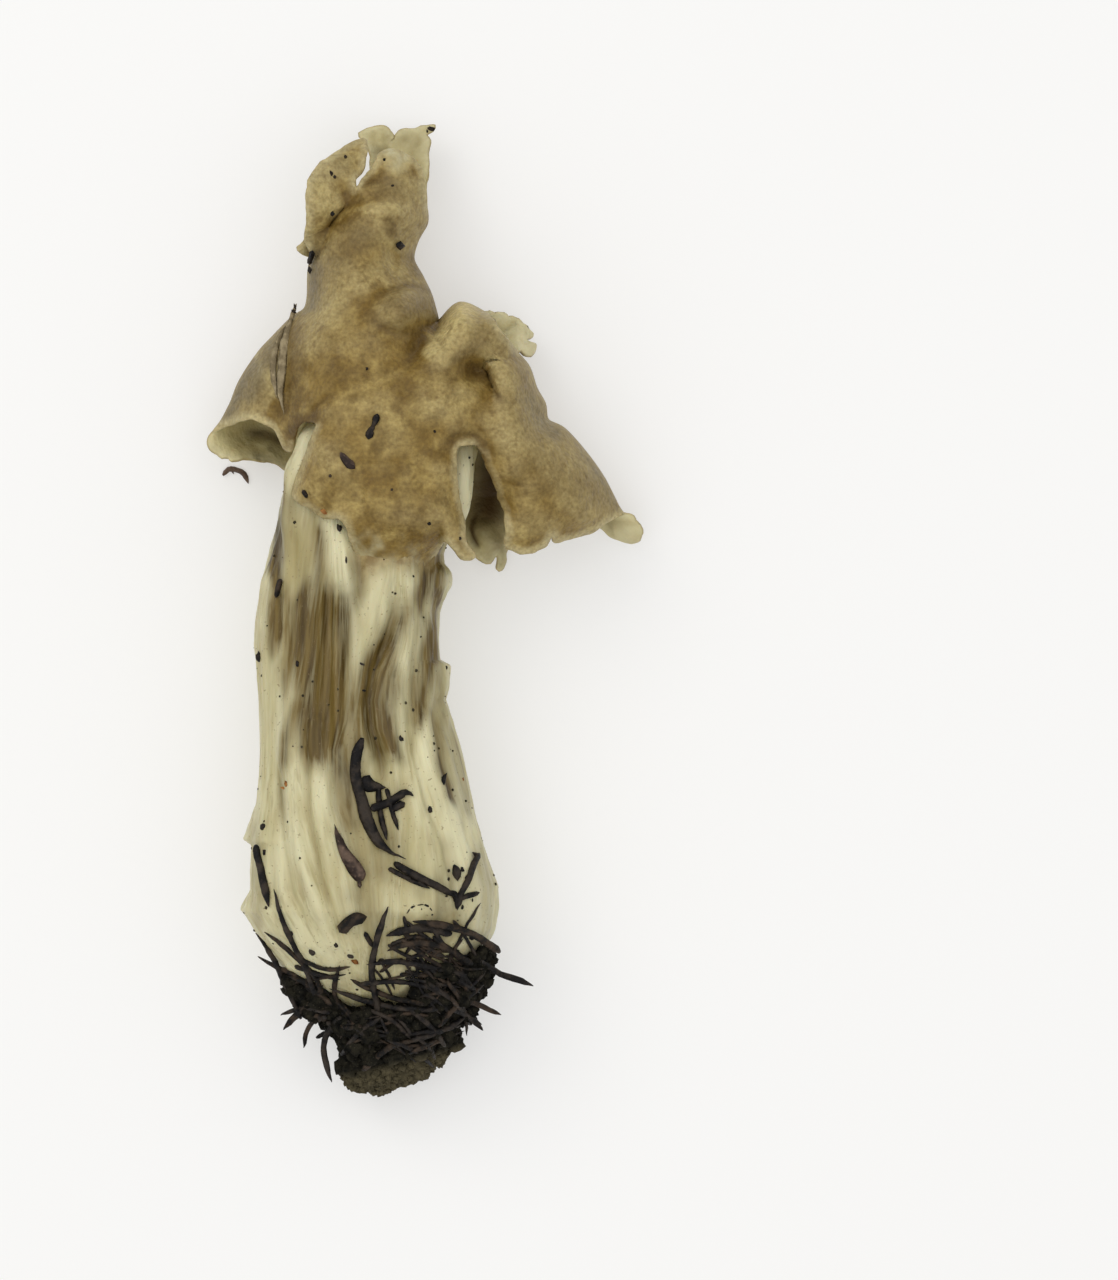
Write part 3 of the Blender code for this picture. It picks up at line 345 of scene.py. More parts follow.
SECTION_POWER = 2.3        # 2 is an ellipse, more is boxier
RIB_SHARE = 0.62           # the ribs look softer here than their heights say, as flesh fills them
# Torn tabs at the edges: direction, points (y, reach)
TABS = [
    (1, [(-13, 0), (-11, 0.9), (-8.7, 1.5), (-8, 1.6), (-7.4, 0.2), (-7.2, 0)]),
    (1, [(-0.5, 0), (2, 0.5), (4.5, 0.7), (6, 0.4), (6.6, 0)]),
    (-1, [(-34.1, 0), (-33.7, 0.3), (-33.2, 1.2), (-31, 0.6), (-28, 0)]),
    (-1, [(-47, 0), (-44.6, 0.8), (-43.4, 1.5), (-42.4, 1), (-40.5, 0)])]
GROOVE_DEPTH = 1.7
RIB_COUNT = 10
RIB_TAPER = 5.0
RIBS_END = -49.2

# %% Ribs and furrows down the front: points (y, x), half width, height
RIBS = [
    ("edge band",
     [(4, -22.6), (-10, -22.4), (-16, -21.8), (-26, -22.4), (-40, -23.3), (-50, -20)], 1.5, 1.1),
    ("thin strand", [(18, -18.8), (12, -19.2), (2, -19.3), (-6, -20)], 0.8, 0.8),
    ("pale panel", [(11, -17.2), (0, -17.3)], 1.8, 0.7),
    ("forked rib, left",
     [(15, -13.2), (6, -15), (0, -16.2), (-6, -17), (-17, -19), (-22, -19.3), (-30, -18.3), (-36, -17),
      (-42, -15), (-48, -13), (-52, -10)], 1.3, 1.7),
    ("forked rib, right",
     [(15, -12.6), (3, -10.6), (-4, -10.2), (-10, -10.2), (-16, -10.8), (-20, -12.2)], 1.2, 1.5),
    ("lower rib",
     [(-17, -14.8), (-22, -14.6), (-28, -14.5), (-32, -13.6), (-38, -12), (-43, -10), (-49, -8)],
     1.6, 1.6),
    ("broad rib", [(12, -5), (5, -5.2), (-2, -7), (-6, -8.4), (-16, -9.4), (-20, -9.4)], 2.2, 1.5),
    ("middle rib", [(8, -2.6), (2, -2.5), (-4, -2), (-10, -3.4), (-20, -4)], 1.4, 1.5),
    ("lower right rib",
     [(-4, 0.4), (-17, 0), (-22, 1), (-28, 3), (-34, 5), (-38, 6), (-46, 6.6)], 1.4, 1.4),
    ("right edge", [(-10, 2.4), (-16, 3), (-25, 5.4), (-34, 7.6), (-42, 8.8)], 1, 0.8),
    ("left groove", [(16, -20.3), (11, -21), (4, -21), (-4, -21)], 0.9, -1),
    ("smoky furrow", [(2, -13.6), (-8, -13.6), (-14, -14.4), (-21, -14)], 2, -2),
    ("slanted furrow",
     [(0, -3.6), (-5, -5.5), (-9, -7.2), (-13, -8), (-17, -7.4), (-22, -5.6)], 0.9, -1.5),
    ("lower furrow", [(-20, -12), (-26, -12.5), (-30, -13), (-34, -13.4), (-38, -12.2)], 0.8, -1),
    ("shallow hollow", [(-23, -6.2), (-37, -5.8)], 3, -1.7),
    ("dark line", [(-15, 1.6), (-21, 2.5), (-27, 3.6)], 0.7, -1),
    ("small hollow", [(7.5, -9.3), (3, -9.2)], 0.9, -1.3),
    ("rib in the right slit", [(25, 5.9), (18, 5.6), (12, 5.4)], 1.2, 2.2),
    ("rib in the left slit", [(27, -16.4), (23, -17.4), (19, -18.2), (13, -19)], 1.5, 1.7),
    ("strand by the left slit", [(20, -18.9), (14, -18.3), (9, -19)], 0.5, 0.35),
    ("hair line", [(9, 1.3), (3, 0.5), (-1, -0.2)], 0.3, -0.5),
    ("second hair line", [(8, 2), (2, 1.6), (-6, 0.9), (-10, 0.5), (-15, -0.4)], 0.3, -0.5),
    ("third hair line", [(6, 0.4), (2, -0.5)], 0.25, -0.35),
    ("slanted strand", [(-1, -3), (-5, -4.4), (-9, -6.2), (-13, -7), (-17, -6.6), (-21, -5)], 0.6, 0.6),
    ("slanted strand, upper", [(-2, -2.6), (-8, -4.6), (-12, -5.6), (-18, -5.2)], 0.5, 0.35),
    ("strand in the smoke", [(-1, -12.4), (-8, -12.8), (-14, -12.6), (-20, -12.4)], 0.4, 0.7),
    ("second strand in the smoke", [(1, -14.6), (-5, -15), (-12, -15.6), (-19, -16)], 0.5, 0.6),
    ("line on the right flank", [(-18, 3.6), (-25, 5.2), (-31, 7)], 0.4, -0.5),
    ("line between right ribs", [(-20, -1.4), (-28, 0.6), (-34, 3), (-39, 4.2)], 0.45, -0.6),
    ("line left of the lower rib", [(-23, -16.6), (-30, -16), (-38, -14.6), (-46, -11.8)], 0.5, -0.8),
    ("line on the left ribs", [(-24, -20.8), (-32, -20.4), (-40, -19), (-47, -16)], 0.5, -0.8),
    ("cream ridge", [(-22, -13.9), (-28, -13.4), (-33, -12.8)], 0.5, 0.6),
    ("fold at the left edge", [(-33, -25.6), (-33.6, -22.5), (-33, -20)], 0.5, 0.5)]

# Smoky stains in the furrows: points (y, x), half width, strength
STAINS = [
    ([(0.5, -16.4), (-4, -16.6), (-10, -15.6), (-16, -14.2), (-20, -13.6)], 3.7, 0.45),
    ([(0, -20.2), (-4, -20.3)], 1, 0.35), ([(13, -21.3), (10, -21.7), (7, -22)], 0.9, 0.9),
    ([(-0.6, -17), (-3, -17.2), (-8, -17.6)], 1.2, 0.5), ([(-15, -14.6), (-20, -13.6)], 3, 0.5),
    ([(-9, -6.6), (-14, -7), (-19, -6)], 2.4, 0.45),
    ([(17, -20.4), (14, -20.8), (11, -21.1), (7, -21.4), (3, -21), (-4, -21.2)], 1, 1),
    ([(15, -18.6), (12, -18.9), (8, -19.6)], 0.7, 0.75),
    ([(13.5, -16.2), (10, -16.6), (4, -17)], 1.6, 0.25),
    ([(-0.6, -18.6), (-1.4, -18.2), (-6, -18.4), (-10, -18.9)], 1.9, 0.7),
    ([(-0.6, -16.8), (-4, -16.6), (-8, -17)], 1, 0.7), ([(8.5, -14.9), (3, -14.6), (-1, -14.6)], 0.9, 1),
    ([(0, -13.2), (-2, -13.2), (-6, -13.6)], 0.9, 0.7),
    ([(0.5, -14.6), (-4, -14.6), (-9, -14), (-14, -13.6), (-20, -13)], 1.9, 1),
    ([(1, -11.6), (-5, -11.4), (-12, -11.2), (-20, -11.4)], 1.3, 0.9),
    ([(-12, -15.2), (-16, -15.4), (-19, -15.8)], 1.5, 0.95),
    ([(-13, -17.6), (-17, -18.8), (-21, -20)], 0.7, 0.7),
    ([(-15, -12.2), (-19, -12), (-23, -11.6)], 2.2, 0.9),
    ([(-19, -10.2), (-24, -10.8), (-30, -10.4)], 1.4, 0.85), ([(7, -9.3), (3.4, -9.3)], 0.8, 0.7),
    ([(-17, -20.2), (-22, -20.2)], 0.45, 0.8),
    ([(-0.5, -3.4), (-4, -4.6), (-8, -6.8), (-12, -8.2), (-16, -8), (-20.5, -6.2)], 1.1, 1),
    ([(-4, -4.9), (-8, -7.6), (-12, -8.8)], 1.5, 0.75),
    ([(-7, -5.4), (-11, -6.2), (-16, -6.3), (-20.5, -4.6)], 0.9, 0.85),
    ([(-2, -2.4), (-7, -3.9), (-11, -5)], 0.5, 0.75), ([(-11, -4.3), (-17, -5.2), (-21, -3.8)], 0.7, 0.8),
    ([(-14, -9.6), (-18, -9)], 1, 0.5), ([(-3, -1), (-7, -1.6)], 0.5, 0.4),
    ([(10.5, 1.8), (6, 0.8), (1, -0.5)], 1, 1), ([(8, 0.8), (4, -0.1), (1, -0.8)], 0.5, 0.9),
    ([(9, 2.6), (3, 2), (-4, 1.4), (-9, 0.8), (-15, -0.5)], 1.1, 0.9), ([(7, 0.2), (3, -0.6)], 0.45, 0.7),
    ([(-4, 0.4), (-10, -0.2), (-16, -1.2)], 0.6, 0.6), ([(-10, -1.8), (-15, -1.6)], 1.2, 0.35),
    ([(-16, 1.6), (-21, 2.6), (-26, 3.6)], 0.8, 0.85), ([(-18, 4.2), (-23, 5.3), (-29, 6.6)], 1.4, 0.5),
    ([(-10, 2.6), (-15, 2.9)], 0.7, 0.4), ([(-24, -12), (-29, -11.6)], 0.8, 0.6),
    ([(-30, -11.2), (-37, -9)], 1, 0.4), ([(-27, -6), (-33, -6.4), (-38, -6.4)], 2.8, 0.35),
    ([(-33, -5), (-38, -1), (-41, 3)], 1.8, 0.35), ([(-22, -20), (-30, -20.4)], 0.6, 0.35),
    ([(-34, 3.4), (-40, 4.6)], 0.9, 0.4), ([(-35, 8.4), (-45, 9.4)], 1.3, 0.35),
    ([(-41, -9), (-47, -7), (-50, -3)], 2.4, 0.4), ([(-30, -24.2), (-46, -23.8)], 1, 0.3),
    ([(-44, 1), (-47, 3)], 5, 0.55)]
# White flesh, and painted light on the right flank and in the slits of the cap: centre x, y, half width,
# half length, strength
PALE_FLESH_AND_LIGHT = [
    (-12.8, 9.5, 1.7, 4.5, 0.9), (-6, 1, 2.2, 4.8, 0.4), (6, 18, 1.8, 8, 1), (-17.4, 23.5, 1.5, 4.5, 0.8),
    (-14.9, -26.5, 1.3, 5.5, 0.7), (-20.6, -36.5, 1.7, 4.5, 0.75), (-13, -50.5, 2.6, 4.5, 0.6),
    (5.2, -31, 2.6, 10, 1), (0.2, -20.5, 1.1, 5.5, 0.8), (3.2, -17, 0.8, 5, 0.5),
    (-21.8, -16, 1.6, 7, 0.15), (-1.2, -4, 1, 4, 0.5), (8, -41, 1.6, 6, 0.7), (-10.6, 1, 0.8, 5, 0.5)]
print(len(RIBS), "ribs and furrows,", len(STAINS), "stains")


# %% Surface of the stipe
def along_stipe(y, line):
    """Value of an outline curve, given as (y, value) from top to bottom, at each y."""
    return np.interp(y, [row for row, _ in reversed(line)], [value for _, value in reversed(line)])


def crest_bells(x, y, points, half_width, taper):
    """How strongly a crest or a stain line is felt at each place."""
    rows = [point[0] for point in reversed(points)]
    across = np.interp(y, rows, [point[1] for point in reversed(points)])
    past = np.maximum(np.maximum(rows[0] - y, y - rows[-1]), 0.0)
    return bell(x - across, half_width) * bell(past, taper / 2)


# Lines that the fibres follow, each as points (y, x), from left to right
GUIDES = [
    [(31, -19), (10, -22.1), (-5, -24.6), (-24, -23.8), (-43, -25.4), (-60, -14)],
    [(31, -16), (16, -20.3), (4, -21), (-20, -21.5), (-40, -22.5), (-60, -12)],
    [(31, -12), (15, -14.6), (6, -15.6), (0, -16.4), (-6, -17), (-17, -19), (-22, -19.3), (-30, -18.3),
     (-36, -17), (-42, -15), (-48, -13), (-60, -9.5)],
    [(31, -10), (15, -13), (0, -13.6), (-17, -14.8), (-28, -14.5), (-38, -12), (-49, -9.4), (-60, -8)],
    [(31, -8), (15, -12), (3, -10.8), (-10, -10.4), (-16, -11), (-20, -12.2), (-28, -12), (-38, -9.4),
     (-60, -7)],
    [(31, -6), (15, -5.6), (5, -5.6), (-2, -7.2), (-6, -8.6), (-16, -9.6), (-20, -9.6), (-30, -8),
     (-60, -6)],
    [(31, -4.5), (15, -3.4), (-1, -3.2), (-5, -4.6), (-9, -6.3), (-13, -7.1), (-17, -6.7), (-21, -5.2),
     (-36, -4.4), (-60, -5.2)],
    [(31, -3), (8, -2.4), (2, -2.3), (-4, -2.2), (-10, -3.4), (-20, -3.4), (-30, -2), (-60, -4.4)],
    [(31, -1), (15, 1.2), (5, 0.6), (-4, 0.2), (-17, 0), (-22, 1), (-28, 3), (-34, 5), (-46, 6.6),
     (-60, -3)],
    [(31, 4), (15, 6.4), (5, 3.4), (-4, 2.4), (-16, 4.1), (-27, 6.8), (-40, 10.7), (-49, 8.6), (-60, -1)]]

REST_ROW = -10.0           # the row at which a fibre's name is its true place


def guided(x, y):
    """A place across the stipe that stays the same along each fibre, in millimetres."""
    lines = np.array([along_stipe(y, line) for line in GUIDES])
    rest = [float(along_stipe(REST_ROW, line)) for line in GUIDES]
    flow = np.clip(x - lines[0], -5.0, 0.0) + rest[0]
    for index in range(len(GUIDES) - 1):
        width = lines[index + 1] - lines[index]
        share = np.clip((x - lines[index]) / np.maximum(width, 0.2), 0.0, 1.0)
        flow = flow + share * (rest[index + 1] - rest[index])
    return flow + np.clip(x - lines[-1], 0.0, 5.0)


def stipe_surface(angle, y, spread=0.0, detail=True):
    """Places on the stipe for arrays of angles round it and of y."""
    left, right, top, belly = (along_stipe(y, line)
                               for line in (STIPE_LEFT, STIPE_RIGHT, STIPE_TOP, STIPE_BELLY))
    cos, sin = np.cos(angle), np.sin(angle)
    boxy = np.where(cos > 0, 2.6 * bell(y - 18.5, 7.0), 2.6 * bell(y - 22.0, 6.0)) * (sin > 0)
    power = 2 / (SECTION_POWER + boxy)
    half_width = (right - left) / 2
    half_height = (top - belly) / 2
    x = (left + right) / 2 + half_width * np.sign(cos) * np.abs(cos) ** power
    z = (top + belly) / 2 + half_height * np.sign(sin) * np.abs(sin) ** power
    for side, reach in TABS:
        x = x + side * np.interp(y, *zip(*reach)) * np.clip(side * cos, 0.0, 1.0) ** 4
    out_x, out_z = cos / half_width, sin / half_height
    length = np.hypot(out_x, out_z)
    out_x, out_z = out_x / length, out_z / length
    relief = np.full(len(y), float(spread))
    if detail:
        front = np.clip(sin * 3.2, 0.0, 1.0)
        twist = 0.05 * y * np.minimum(1.0, np.abs(sin))
        wander = 0.8 * lumps(np.stack([np.cos(angle) * 6, y, np.sin(angle) * 6], axis=1), 9.0, 11)
        behind = (np.cos(RIB_COUNT * angle + twist + wander * np.abs(sin)) - 1) * GROOVE_DEPTH / 2
        ribs = sum(height * crest_bells(x, y, points, half_width_rib, RIB_TAPER)
                   for _, points, half_width_rib, height in RIBS)
        round_it = np.stack([x, y, z], axis=1)
        slow = lumps(round_it * (1, 0.35, 1), 4.5, 12) * 0.22
        fibres = (lumps(round_it * (1, 0.07, 1), 0.75, 13) * 0.14
                  + lumps(round_it * (1, 0.12, 1), 0.38, 14) * 0.06
                  + lumps(round_it, 0.9, 15) * 0.03)
        above_socket = np.clip((y - RIBS_END) / RIB_TAPER, 0.0, 1.0)
        flow = np.column_stack([guided(x, y), y * 0.06, z * 0.6])
        strands = lumps(flow, 1.1, 16) * 0.20 + lumps(flow, 0.55, 17) * 0.11
        shape = front * ribs * RIB_SHARE + (1 - front) * behind + slow + strands
        relief = relief + above_socket * shape + fibres
    return x + out_x * relief, z + out_z * relief


print("the stipe is", round(STIPE_LEFT[0][0] - STIPE_LEFT[-1][0]), "mm long")

# %% [markdown]
# ## The folded cap
# The cap is one thin sheet: brown and fertile outside, pale and barren inside. It is folded down
# over the stipe, so from above there is a front layer and a back layer that meet along three
# folds and end in free, wavy margins elsewhere. Cloth tools could crumple a sheet, but not into
# this exact pattern of lobes, so it is cut like a sewing pattern instead. Each layer is a given
# outline that shares its fold lines with the other layer. Spots of height
# pin a thin plate, and near a fold the plate is rounded over so that both layers meet there.

# %% Folds shared by the two layers
LEFT_FOLD = [
    (-30.5, 25.9), (-29.3, 27.3), (-27.9, 29.6), (-26.5, 33), (-24, 36.8), (-22, 39), (-19, 42),
    (-17.2, 43.2), (-16.6, 45), (-16.5, 48), (-16.4, 51)]
TOP_FOLD = [
    (0.2, 58), (0, 56), (-1.4, 53.4), (-2, 50.6), (-0.7, 48), (0.5, 45.5), (1.2, 43.2), (1.8, 41.2),
    (2.7, 41.8), (4, 43.2), (5.2, 43.9), (6.8, 43.5), (8.6, 42.8)]
RIGHT_FOLD = [
    (13.3, 37), (14.8, 34.7), (15.8, 31.8), (17, 29.6), (17.5, 27.2), (20, 25.8), (23, 22.5), (25.5, 19),
    (27.4, 15.4), (28.6, 13.9)]

# %% Free margins of the front layer
FRONT_TOP = [
    (-17.4, 51.3), (-18.2, 52.2), (-17.1, 53.2), (-16.7, 56), (-16.5, 60.5), (-15.6, 63.3), (-13.5, 64.9),
    (-11.3, 66.5), (-8.9, 67.8), (-8.5, 67), (-8.5, 65), (-9, 63.2), (-9.9, 61.8), (-9.7, 60.5),
    (-9, 61.5), (-8, 62.7), (-7, 64.3), (-6.2, 65.7), (-5, 66.2), (-3.4, 66), (-2.3, 65.3), (-1.3, 64.4),
    (-0.3, 63), (0, 61)]
FRONT_RIGHT = [(9.8, 41.6), (11, 39.6), (12.4, 38)]
FRONT_BOTTOM = [
    (27.2, 13.3), (25.5, 12), (23, 10.9), (21, 10.2), (19.3, 9.7), (18.6, 9.9), (18.3, 10.7), (17.9, 9.6),
    (17, 8.8), (15.6, 8.2), (13.8, 8), (12.4, 8.5), (11.8, 9.4), (11.9, 12.5), (10.9, 16), (9.6, 19.2),
    (8.4, 22.4), (7.6, 23.4), (6, 23.6), (4.8, 22.9), (4.9, 19), (5.2, 15.6), (5.8, 12.2), (5.9, 10.2),
    (7.2, 7.9), (6.6, 7.1), (5, 7.6), (3.4, 9.5), (2.4, 9.4), (1.4, 7.4), (-0.6, 5), (-2.6, 4.2),
    (-5, 4.8), (-8, 6.5), (-10.2, 9.4), (-11.3, 12.7), (-14.2, 13), (-16.2, 14.4), (-18.3, 15.9),
    (-18.5, 17.2), (-17.6, 20.2), (-16.4, 23.3), (-15.3, 26.2), (-16.5, 27), (-18, 26.4), (-18.6, 24.5),
    (-19, 22.8), (-20.2, 23.4), (-20.9, 25), (-21.4, 26.2), (-23, 26.9), (-25, 27.4), (-26.8, 27.2),
    (-28.6, 26.6)]

# %% Free margins of the back layer
BACK_TOP = [
    (-14.6, 52.6), (-12.2, 55.5), (-9.8, 58.4), (-8.3, 61), (-8.1, 64), (-8.2, 66.5), (-9.1, 68.2),
    (-9.5, 69), (-8.4, 69.7), (-7, 70), (-5.8, 70), (-5.2, 69.4), (-4.6, 68.5), (-5.1, 68), (-4.3, 68.2),
    (-4.1, 69.2), (-3.5, 69.7), (-1.5, 69.9), (0.2, 70.1), (1.4, 70.2), (1.2, 69.4), (0.2, 68.8),
    (0.7, 68), (0.3, 66.5), (0.4, 64), (0.1, 61)]
BACK_RIGHT = [
    (9.3, 43.1), (10, 42.9), (10.6, 43), (11.4, 42.8), (12, 42.3), (12.6, 42.6), (13.6, 42.2),
    (14.1, 41.5), (14.8, 41.1), (15, 40.6), (15.5, 40.1), (15.2, 39.5), (14.6, 39.2), (15.2, 38.8),
    (15.9, 38.6), (15.8, 37.6), (15.3, 36.7), (14.4, 36.8), (13.8, 37.4)]
BACK_BOTTOM = [
    (29.4, 13.8), (30.1, 13.5), (30.4, 12.8), (31.1, 12.3), (31.4, 11.2), (30.8, 9.9), (29.6, 9.7),
    (28.2, 10.1), (27, 10.8), (24.4, 12.4), (20, 11.6), (16, 10.4), (12.6, 9.8), (11.7, 8.6), (11.5, 7),
    (11, 5.9), (10.4, 6), (10.3, 7.8), (9.3, 7), (8.4, 7.2), (7.2, 8), (6.2, 9.8), (4.5, 12), (0, 13),
    (-5, 13.6), (-10, 14.8), (-15, 17.2), (-19.4, 20), (-20.6, 20.4), (-22, 21.3), (-24.3, 21.7),
    (-26.5, 21.7), (-28, 21.4), (-28.5, 21.9), (-29.4, 22), (-30, 22.6), (-30.8, 23), (-31.3, 24),
    (-31.2, 25.1)]

# %% Heights of the front layer, in millimetres above the table
FRONT_SPOTS = [
    (-14.5, 15, 25.8), (-8, 12, 27), (-1.5, 8, 26.8), (4.5, 9, 24.6), (6.6, 7.4, 23.2), (-17.8, 16.6, 24),
    (-16, 22, 25), (-8, 20, 27.4), (1, 16, 27), (4.3, 20, 25.8), (-8, 28, 27.4), (0, 26, 27.6),
    (6, 26.5, 26.4), (-14, 29, 25), (-17, 28.2, 22.6), (12, 24, 25), (3, 31, 27.2), (-4, 34, 25.8),
    (-10, 37, 24.6), (-14, 37, 22.8), (2.5, 37.5, 25.8), (4.5, 40.5, 25.4), (8, 39, 24.4),
    (7.8, 34, 22.2), (11.2, 34.5, 25.2), (12.5, 31, 25.4), (10, 31.5, 23.6), (13.5, 28, 24.4),
    (1.5, 39.8, 21.4), (-1, 36.8, 23.6), (-3.5, 42, 26.2), (-8.5, 43, 22.8), (-4, 46.6, 21.4),
    (-19, 38, 18), (-20.3, 33, 17.8), (-20.5, 29, 16), (-18, 30.5, 19.6), (-23.5, 33, 16.6),
    (-25.5, 29.8, 14.8), (-25, 27.4, 15.6), (-28.5, 26.6, 12.4), (-22, 26.6, 16.2), (-20.3, 24.5, 16.6),
    (-19.2, 23, 16.8), (-10, 48, 21.5), (-5.5, 50, 19.4), (-13.5, 46, 20), (-9, 54, 20.2), (-4, 57, 19.8),
    (-3, 53.8, 18), (-6, 61, 17.8), (-4, 65, 16.4), (-2.2, 65.5, 15.4), (-1, 62, 15.8), (-8, 62.6, 16.6),
    (-13.2, 56.4, 17), (-15.6, 57, 19), (-14, 62, 18.2), (-10.5, 65, 16), (-9, 67.3, 13.6),
    (-18, 52.2, 15.5), (-10.6, 60.2, 17), (16, 22, 22.8), (14, 16, 22.6), (19, 18, 20.6), (13, 11, 20.6),
    (15, 8.4, 18), (12.2, 9.5, 18.8), (18.5, 10.8, 18), (21, 13, 17.8), (21, 10.4, 14.8),
    (25, 13.5, 14.2), (25.5, 12.2, 11.8), (24, 18, 17), (27.5, 13.6, 10.5), (11, 16.5, 21.2),
    (9.2, 20.5, 23), (12, 20, 24.2), (16.5, 25.5, 22), (15.5, 29.5, 21.8)]

# %% Heights of the back layer and of the folds
BACK_SPOTS = [
    (-8, 25, 0.6), (10, 22, 0.6), (-12, 40, 1.2), (0, 38, 1.2), (-8, 50, 2.6), (-5, 60, 4),
    (-6, 68.6, 5.4), (-2.5, 68, 4.8), (0.8, 69.8, 6.4), (0.3, 64, 8.4), (0.2, 61, 9.4), (-8.1, 65, 6),
    (-9.3, 69, 6.6), (-12, 54, 5.5), (10, 42, 7.4), (13, 40.5, 5.4), (15.3, 40, 4), (15.5, 37.6, 4.6),
    (14, 37.5, 7), (18, 20, 1.2), (22, 17, 1.6), (28, 11.5, 3.2), (31, 11, 5), (30, 13.2, 6.6),
    (27, 12, 2.4), (20, 12, 1.8), (13, 10, 1.4), (11, 6.4, 2.4), (8, 7.6, 3.2), (6.2, 10, 2.6),
    (-4, 13.5, 0.7), (-15, 17, 0.9), (-20, 20.5, 2.6), (-23, 21.6, 4.8), (-26.5, 24.6, 2),
    (-23.4, 24.4, 1.8), (-28.6, 22, 6.8), (-31, 24, 7.6), (-26.3, 21.8, 6.4), (-24, 30, 1.6),
    (-20, 35, 1.2)]
FOLD_SPOTS = [
    (-30.5, 25.9, 8), (-28, 29.5, 7.6), (-24, 37, 8), (-17, 43, 9), (-16.4, 51, 10), (0.2, 58, 10.5),
    (-2, 50.6, 10.5), (1.5, 42, 11), (5.2, 43.9, 12.6), (8.6, 42.8, 12.4), (13.3, 37, 12),
    (17.4, 28, 10.5), (23, 22.5, 8.5), (28.6, 13.9, 7.5)]

BACK_RIDGE = [(8.0, 13.4), (8.2, 11.6), (9.4, 9.6), (10.6, 8.2)]       # seen through the right slit

# %% Creases and ridges pressed into the front layer: points (x, y), half width, height
CREASES = [
    ("slit crease", [(-17.4, 27.2), (-16, 28), (-14, 29.5), (-12.4, 30.8)], 0.8, -0.9),
    ("under the ear",
     [(-9, 58.6), (-10.5, 58), (-12, 57), (-13, 55.8), (-14, 54), (-15, 52.8), (-16, 51.6)], 0.9, -1.3),
    ("band across the horn", [(-9.6, 57.2), (-6.5, 57), (-3, 57.2)], 0.9, 0.6),
    ("grey groove", [(-5.5, 54), (-5.3, 52), (-4.6, 50), (-4.3, 48), (-3.2, 46.8)], 0.9, -0.9),
    ("foot of the horn", [(-6.8, 43.6), (-5, 45.6), (-3, 46.4), (-0.2, 46.2)], 1.2, -1.1),
    ("dark bulge", [(-5.5, 42.8), (-2.5, 43.6), (0.2, 42.8)], 2.2, 1.2),
    ("under the bulge", [(-7, 41), (-4, 39.6), (-1, 39.4)], 1.6, -0.8),
    ("ridge of the hump", [(2.2, 37.5), (3.6, 39.5), (5, 41.4), (6, 42.6)], 1, 1),
    ("valley by the hump", [(2.2, 42), (1.2, 39.6), (-0.4, 37.2), (-2.6, 35)], 1.5, -1.5),
    ("hollow by the fold", [(5.6, 34.8), (7.4, 34.4), (9, 33.4)], 1.9, -0.9),
    ("crevice", [(8.8, 36.8), (9.3, 34.4), (9.8, 32.6), (10.8, 30.2)], 0.75, -1.5),
    ("edge of the second fold", [(9.9, 37.4), (10.3, 34.8), (10.9, 33.2), (11.9, 30.6)], 0.8, 1),
    ("lobe of the second fold", [(12.8, 35.4), (13.2, 32.6)], 1.6, 0.6),
    ("ridge under the hollow", [(3.4, 31.6), (6.4, 31.2), (9.4, 29.4)], 1.6, 0.9),
    ("hump, right side", [(6.6, 42.2), (8.4, 40.4), (9.4, 38.4)], 1.2, 0.7),
    ("step in the flap", [(-8.3, 18.4), (-8.3, 14)], 0.35, -0.35),
    ("grey streak", [(15, 29.6), (15.8, 28), (17, 26.4), (18.6, 25)], 0.8, -0.7),
    ("thin fold at the left", [(-24, 36.8), (-23.5, 35.4), (-22.8, 34.2), (-21.6, 32.4), (-21.2, 31)],
     0.4, 0.6),
    ("hood of the right slit", [(3.8, 22.6), (5, 24.4), (6.6, 25), (8.4, 24.2)], 0.9, -0.7),
    ("hollow of the shoulder", [(-19.6, 31), (-19.4, 34), (-19.2, 37.6)], 1.1, -0.9)]

# %% [markdown]
# ## Cutting a layer into triangles
# `delaunay_2d_cdt` fills an outline with triangles and keeps every edge of the outline. Points
# inside are an even triangular field, with closer rows along the folds, where the sheet turns
# down steeply and a plain field would stretch. The margins get small irregular scallops
# before that, because a real margin is never a clean curve.

# %% Outlines with their scallops
CAP_STEP = 0.4
FOLD_RADIUS = 5.5
CAP_THICKNESS = 1.1
MARGIN_THICKNESS = 0.55
TABLE_GAP = 0.05           # what soft surfaces keep clear of the table


def scalloped(points, seed):
    """A free margin with small uneven scallops that vanish at both ends."""
    line = curve_through(points, CAP_STEP)
    places = np.array([(p.x, p.y) for p in line])
    along = np.gradient(places, axis=0)
    along /= np.linalg.norm(along, axis=1, keepdims=True)
    run = np.arange(len(places)) * CAP_STEP
    wave = np.stack([run, run * 0, run * 0], axis=1)
    push = lumps(wave, 1.7, seed) * 0.16 + lumps(wave, 0.7, seed + 1) * 0.09
    ends = np.clip(np.minimum(run, run[-1] - run) / 3.0, 0.0, 1.0)
    across = np.stack([along[:, 1], -along[:, 0]], axis=1)
    return [Vector(place) for place in places + across * (push * ends)[:, None]]


def layer_outline(top, right, bottom, seed):
    """A closed outline from the three folds and the three margins between them."""
    folds = [curve_through(fold, CAP_STEP) for fold in (LEFT_FOLD, TOP_FOLD, RIGHT_FOLD)]
    margins = [scalloped([LEFT_FOLD[-1]] + top + [TOP_FOLD[0]], seed),
               scalloped([TOP_FOLD[-1]] + right + [RIGHT_FOLD[0]], seed + 10),
               scalloped([RIGHT_FOLD[-1]] + bottom + [LEFT_FOLD[0]], seed + 20)]
    outline = []
    for fold, margin in zip(folds, margins):
        outline += fold[:-1] + margin[:-1]
    return outline, folds, margins


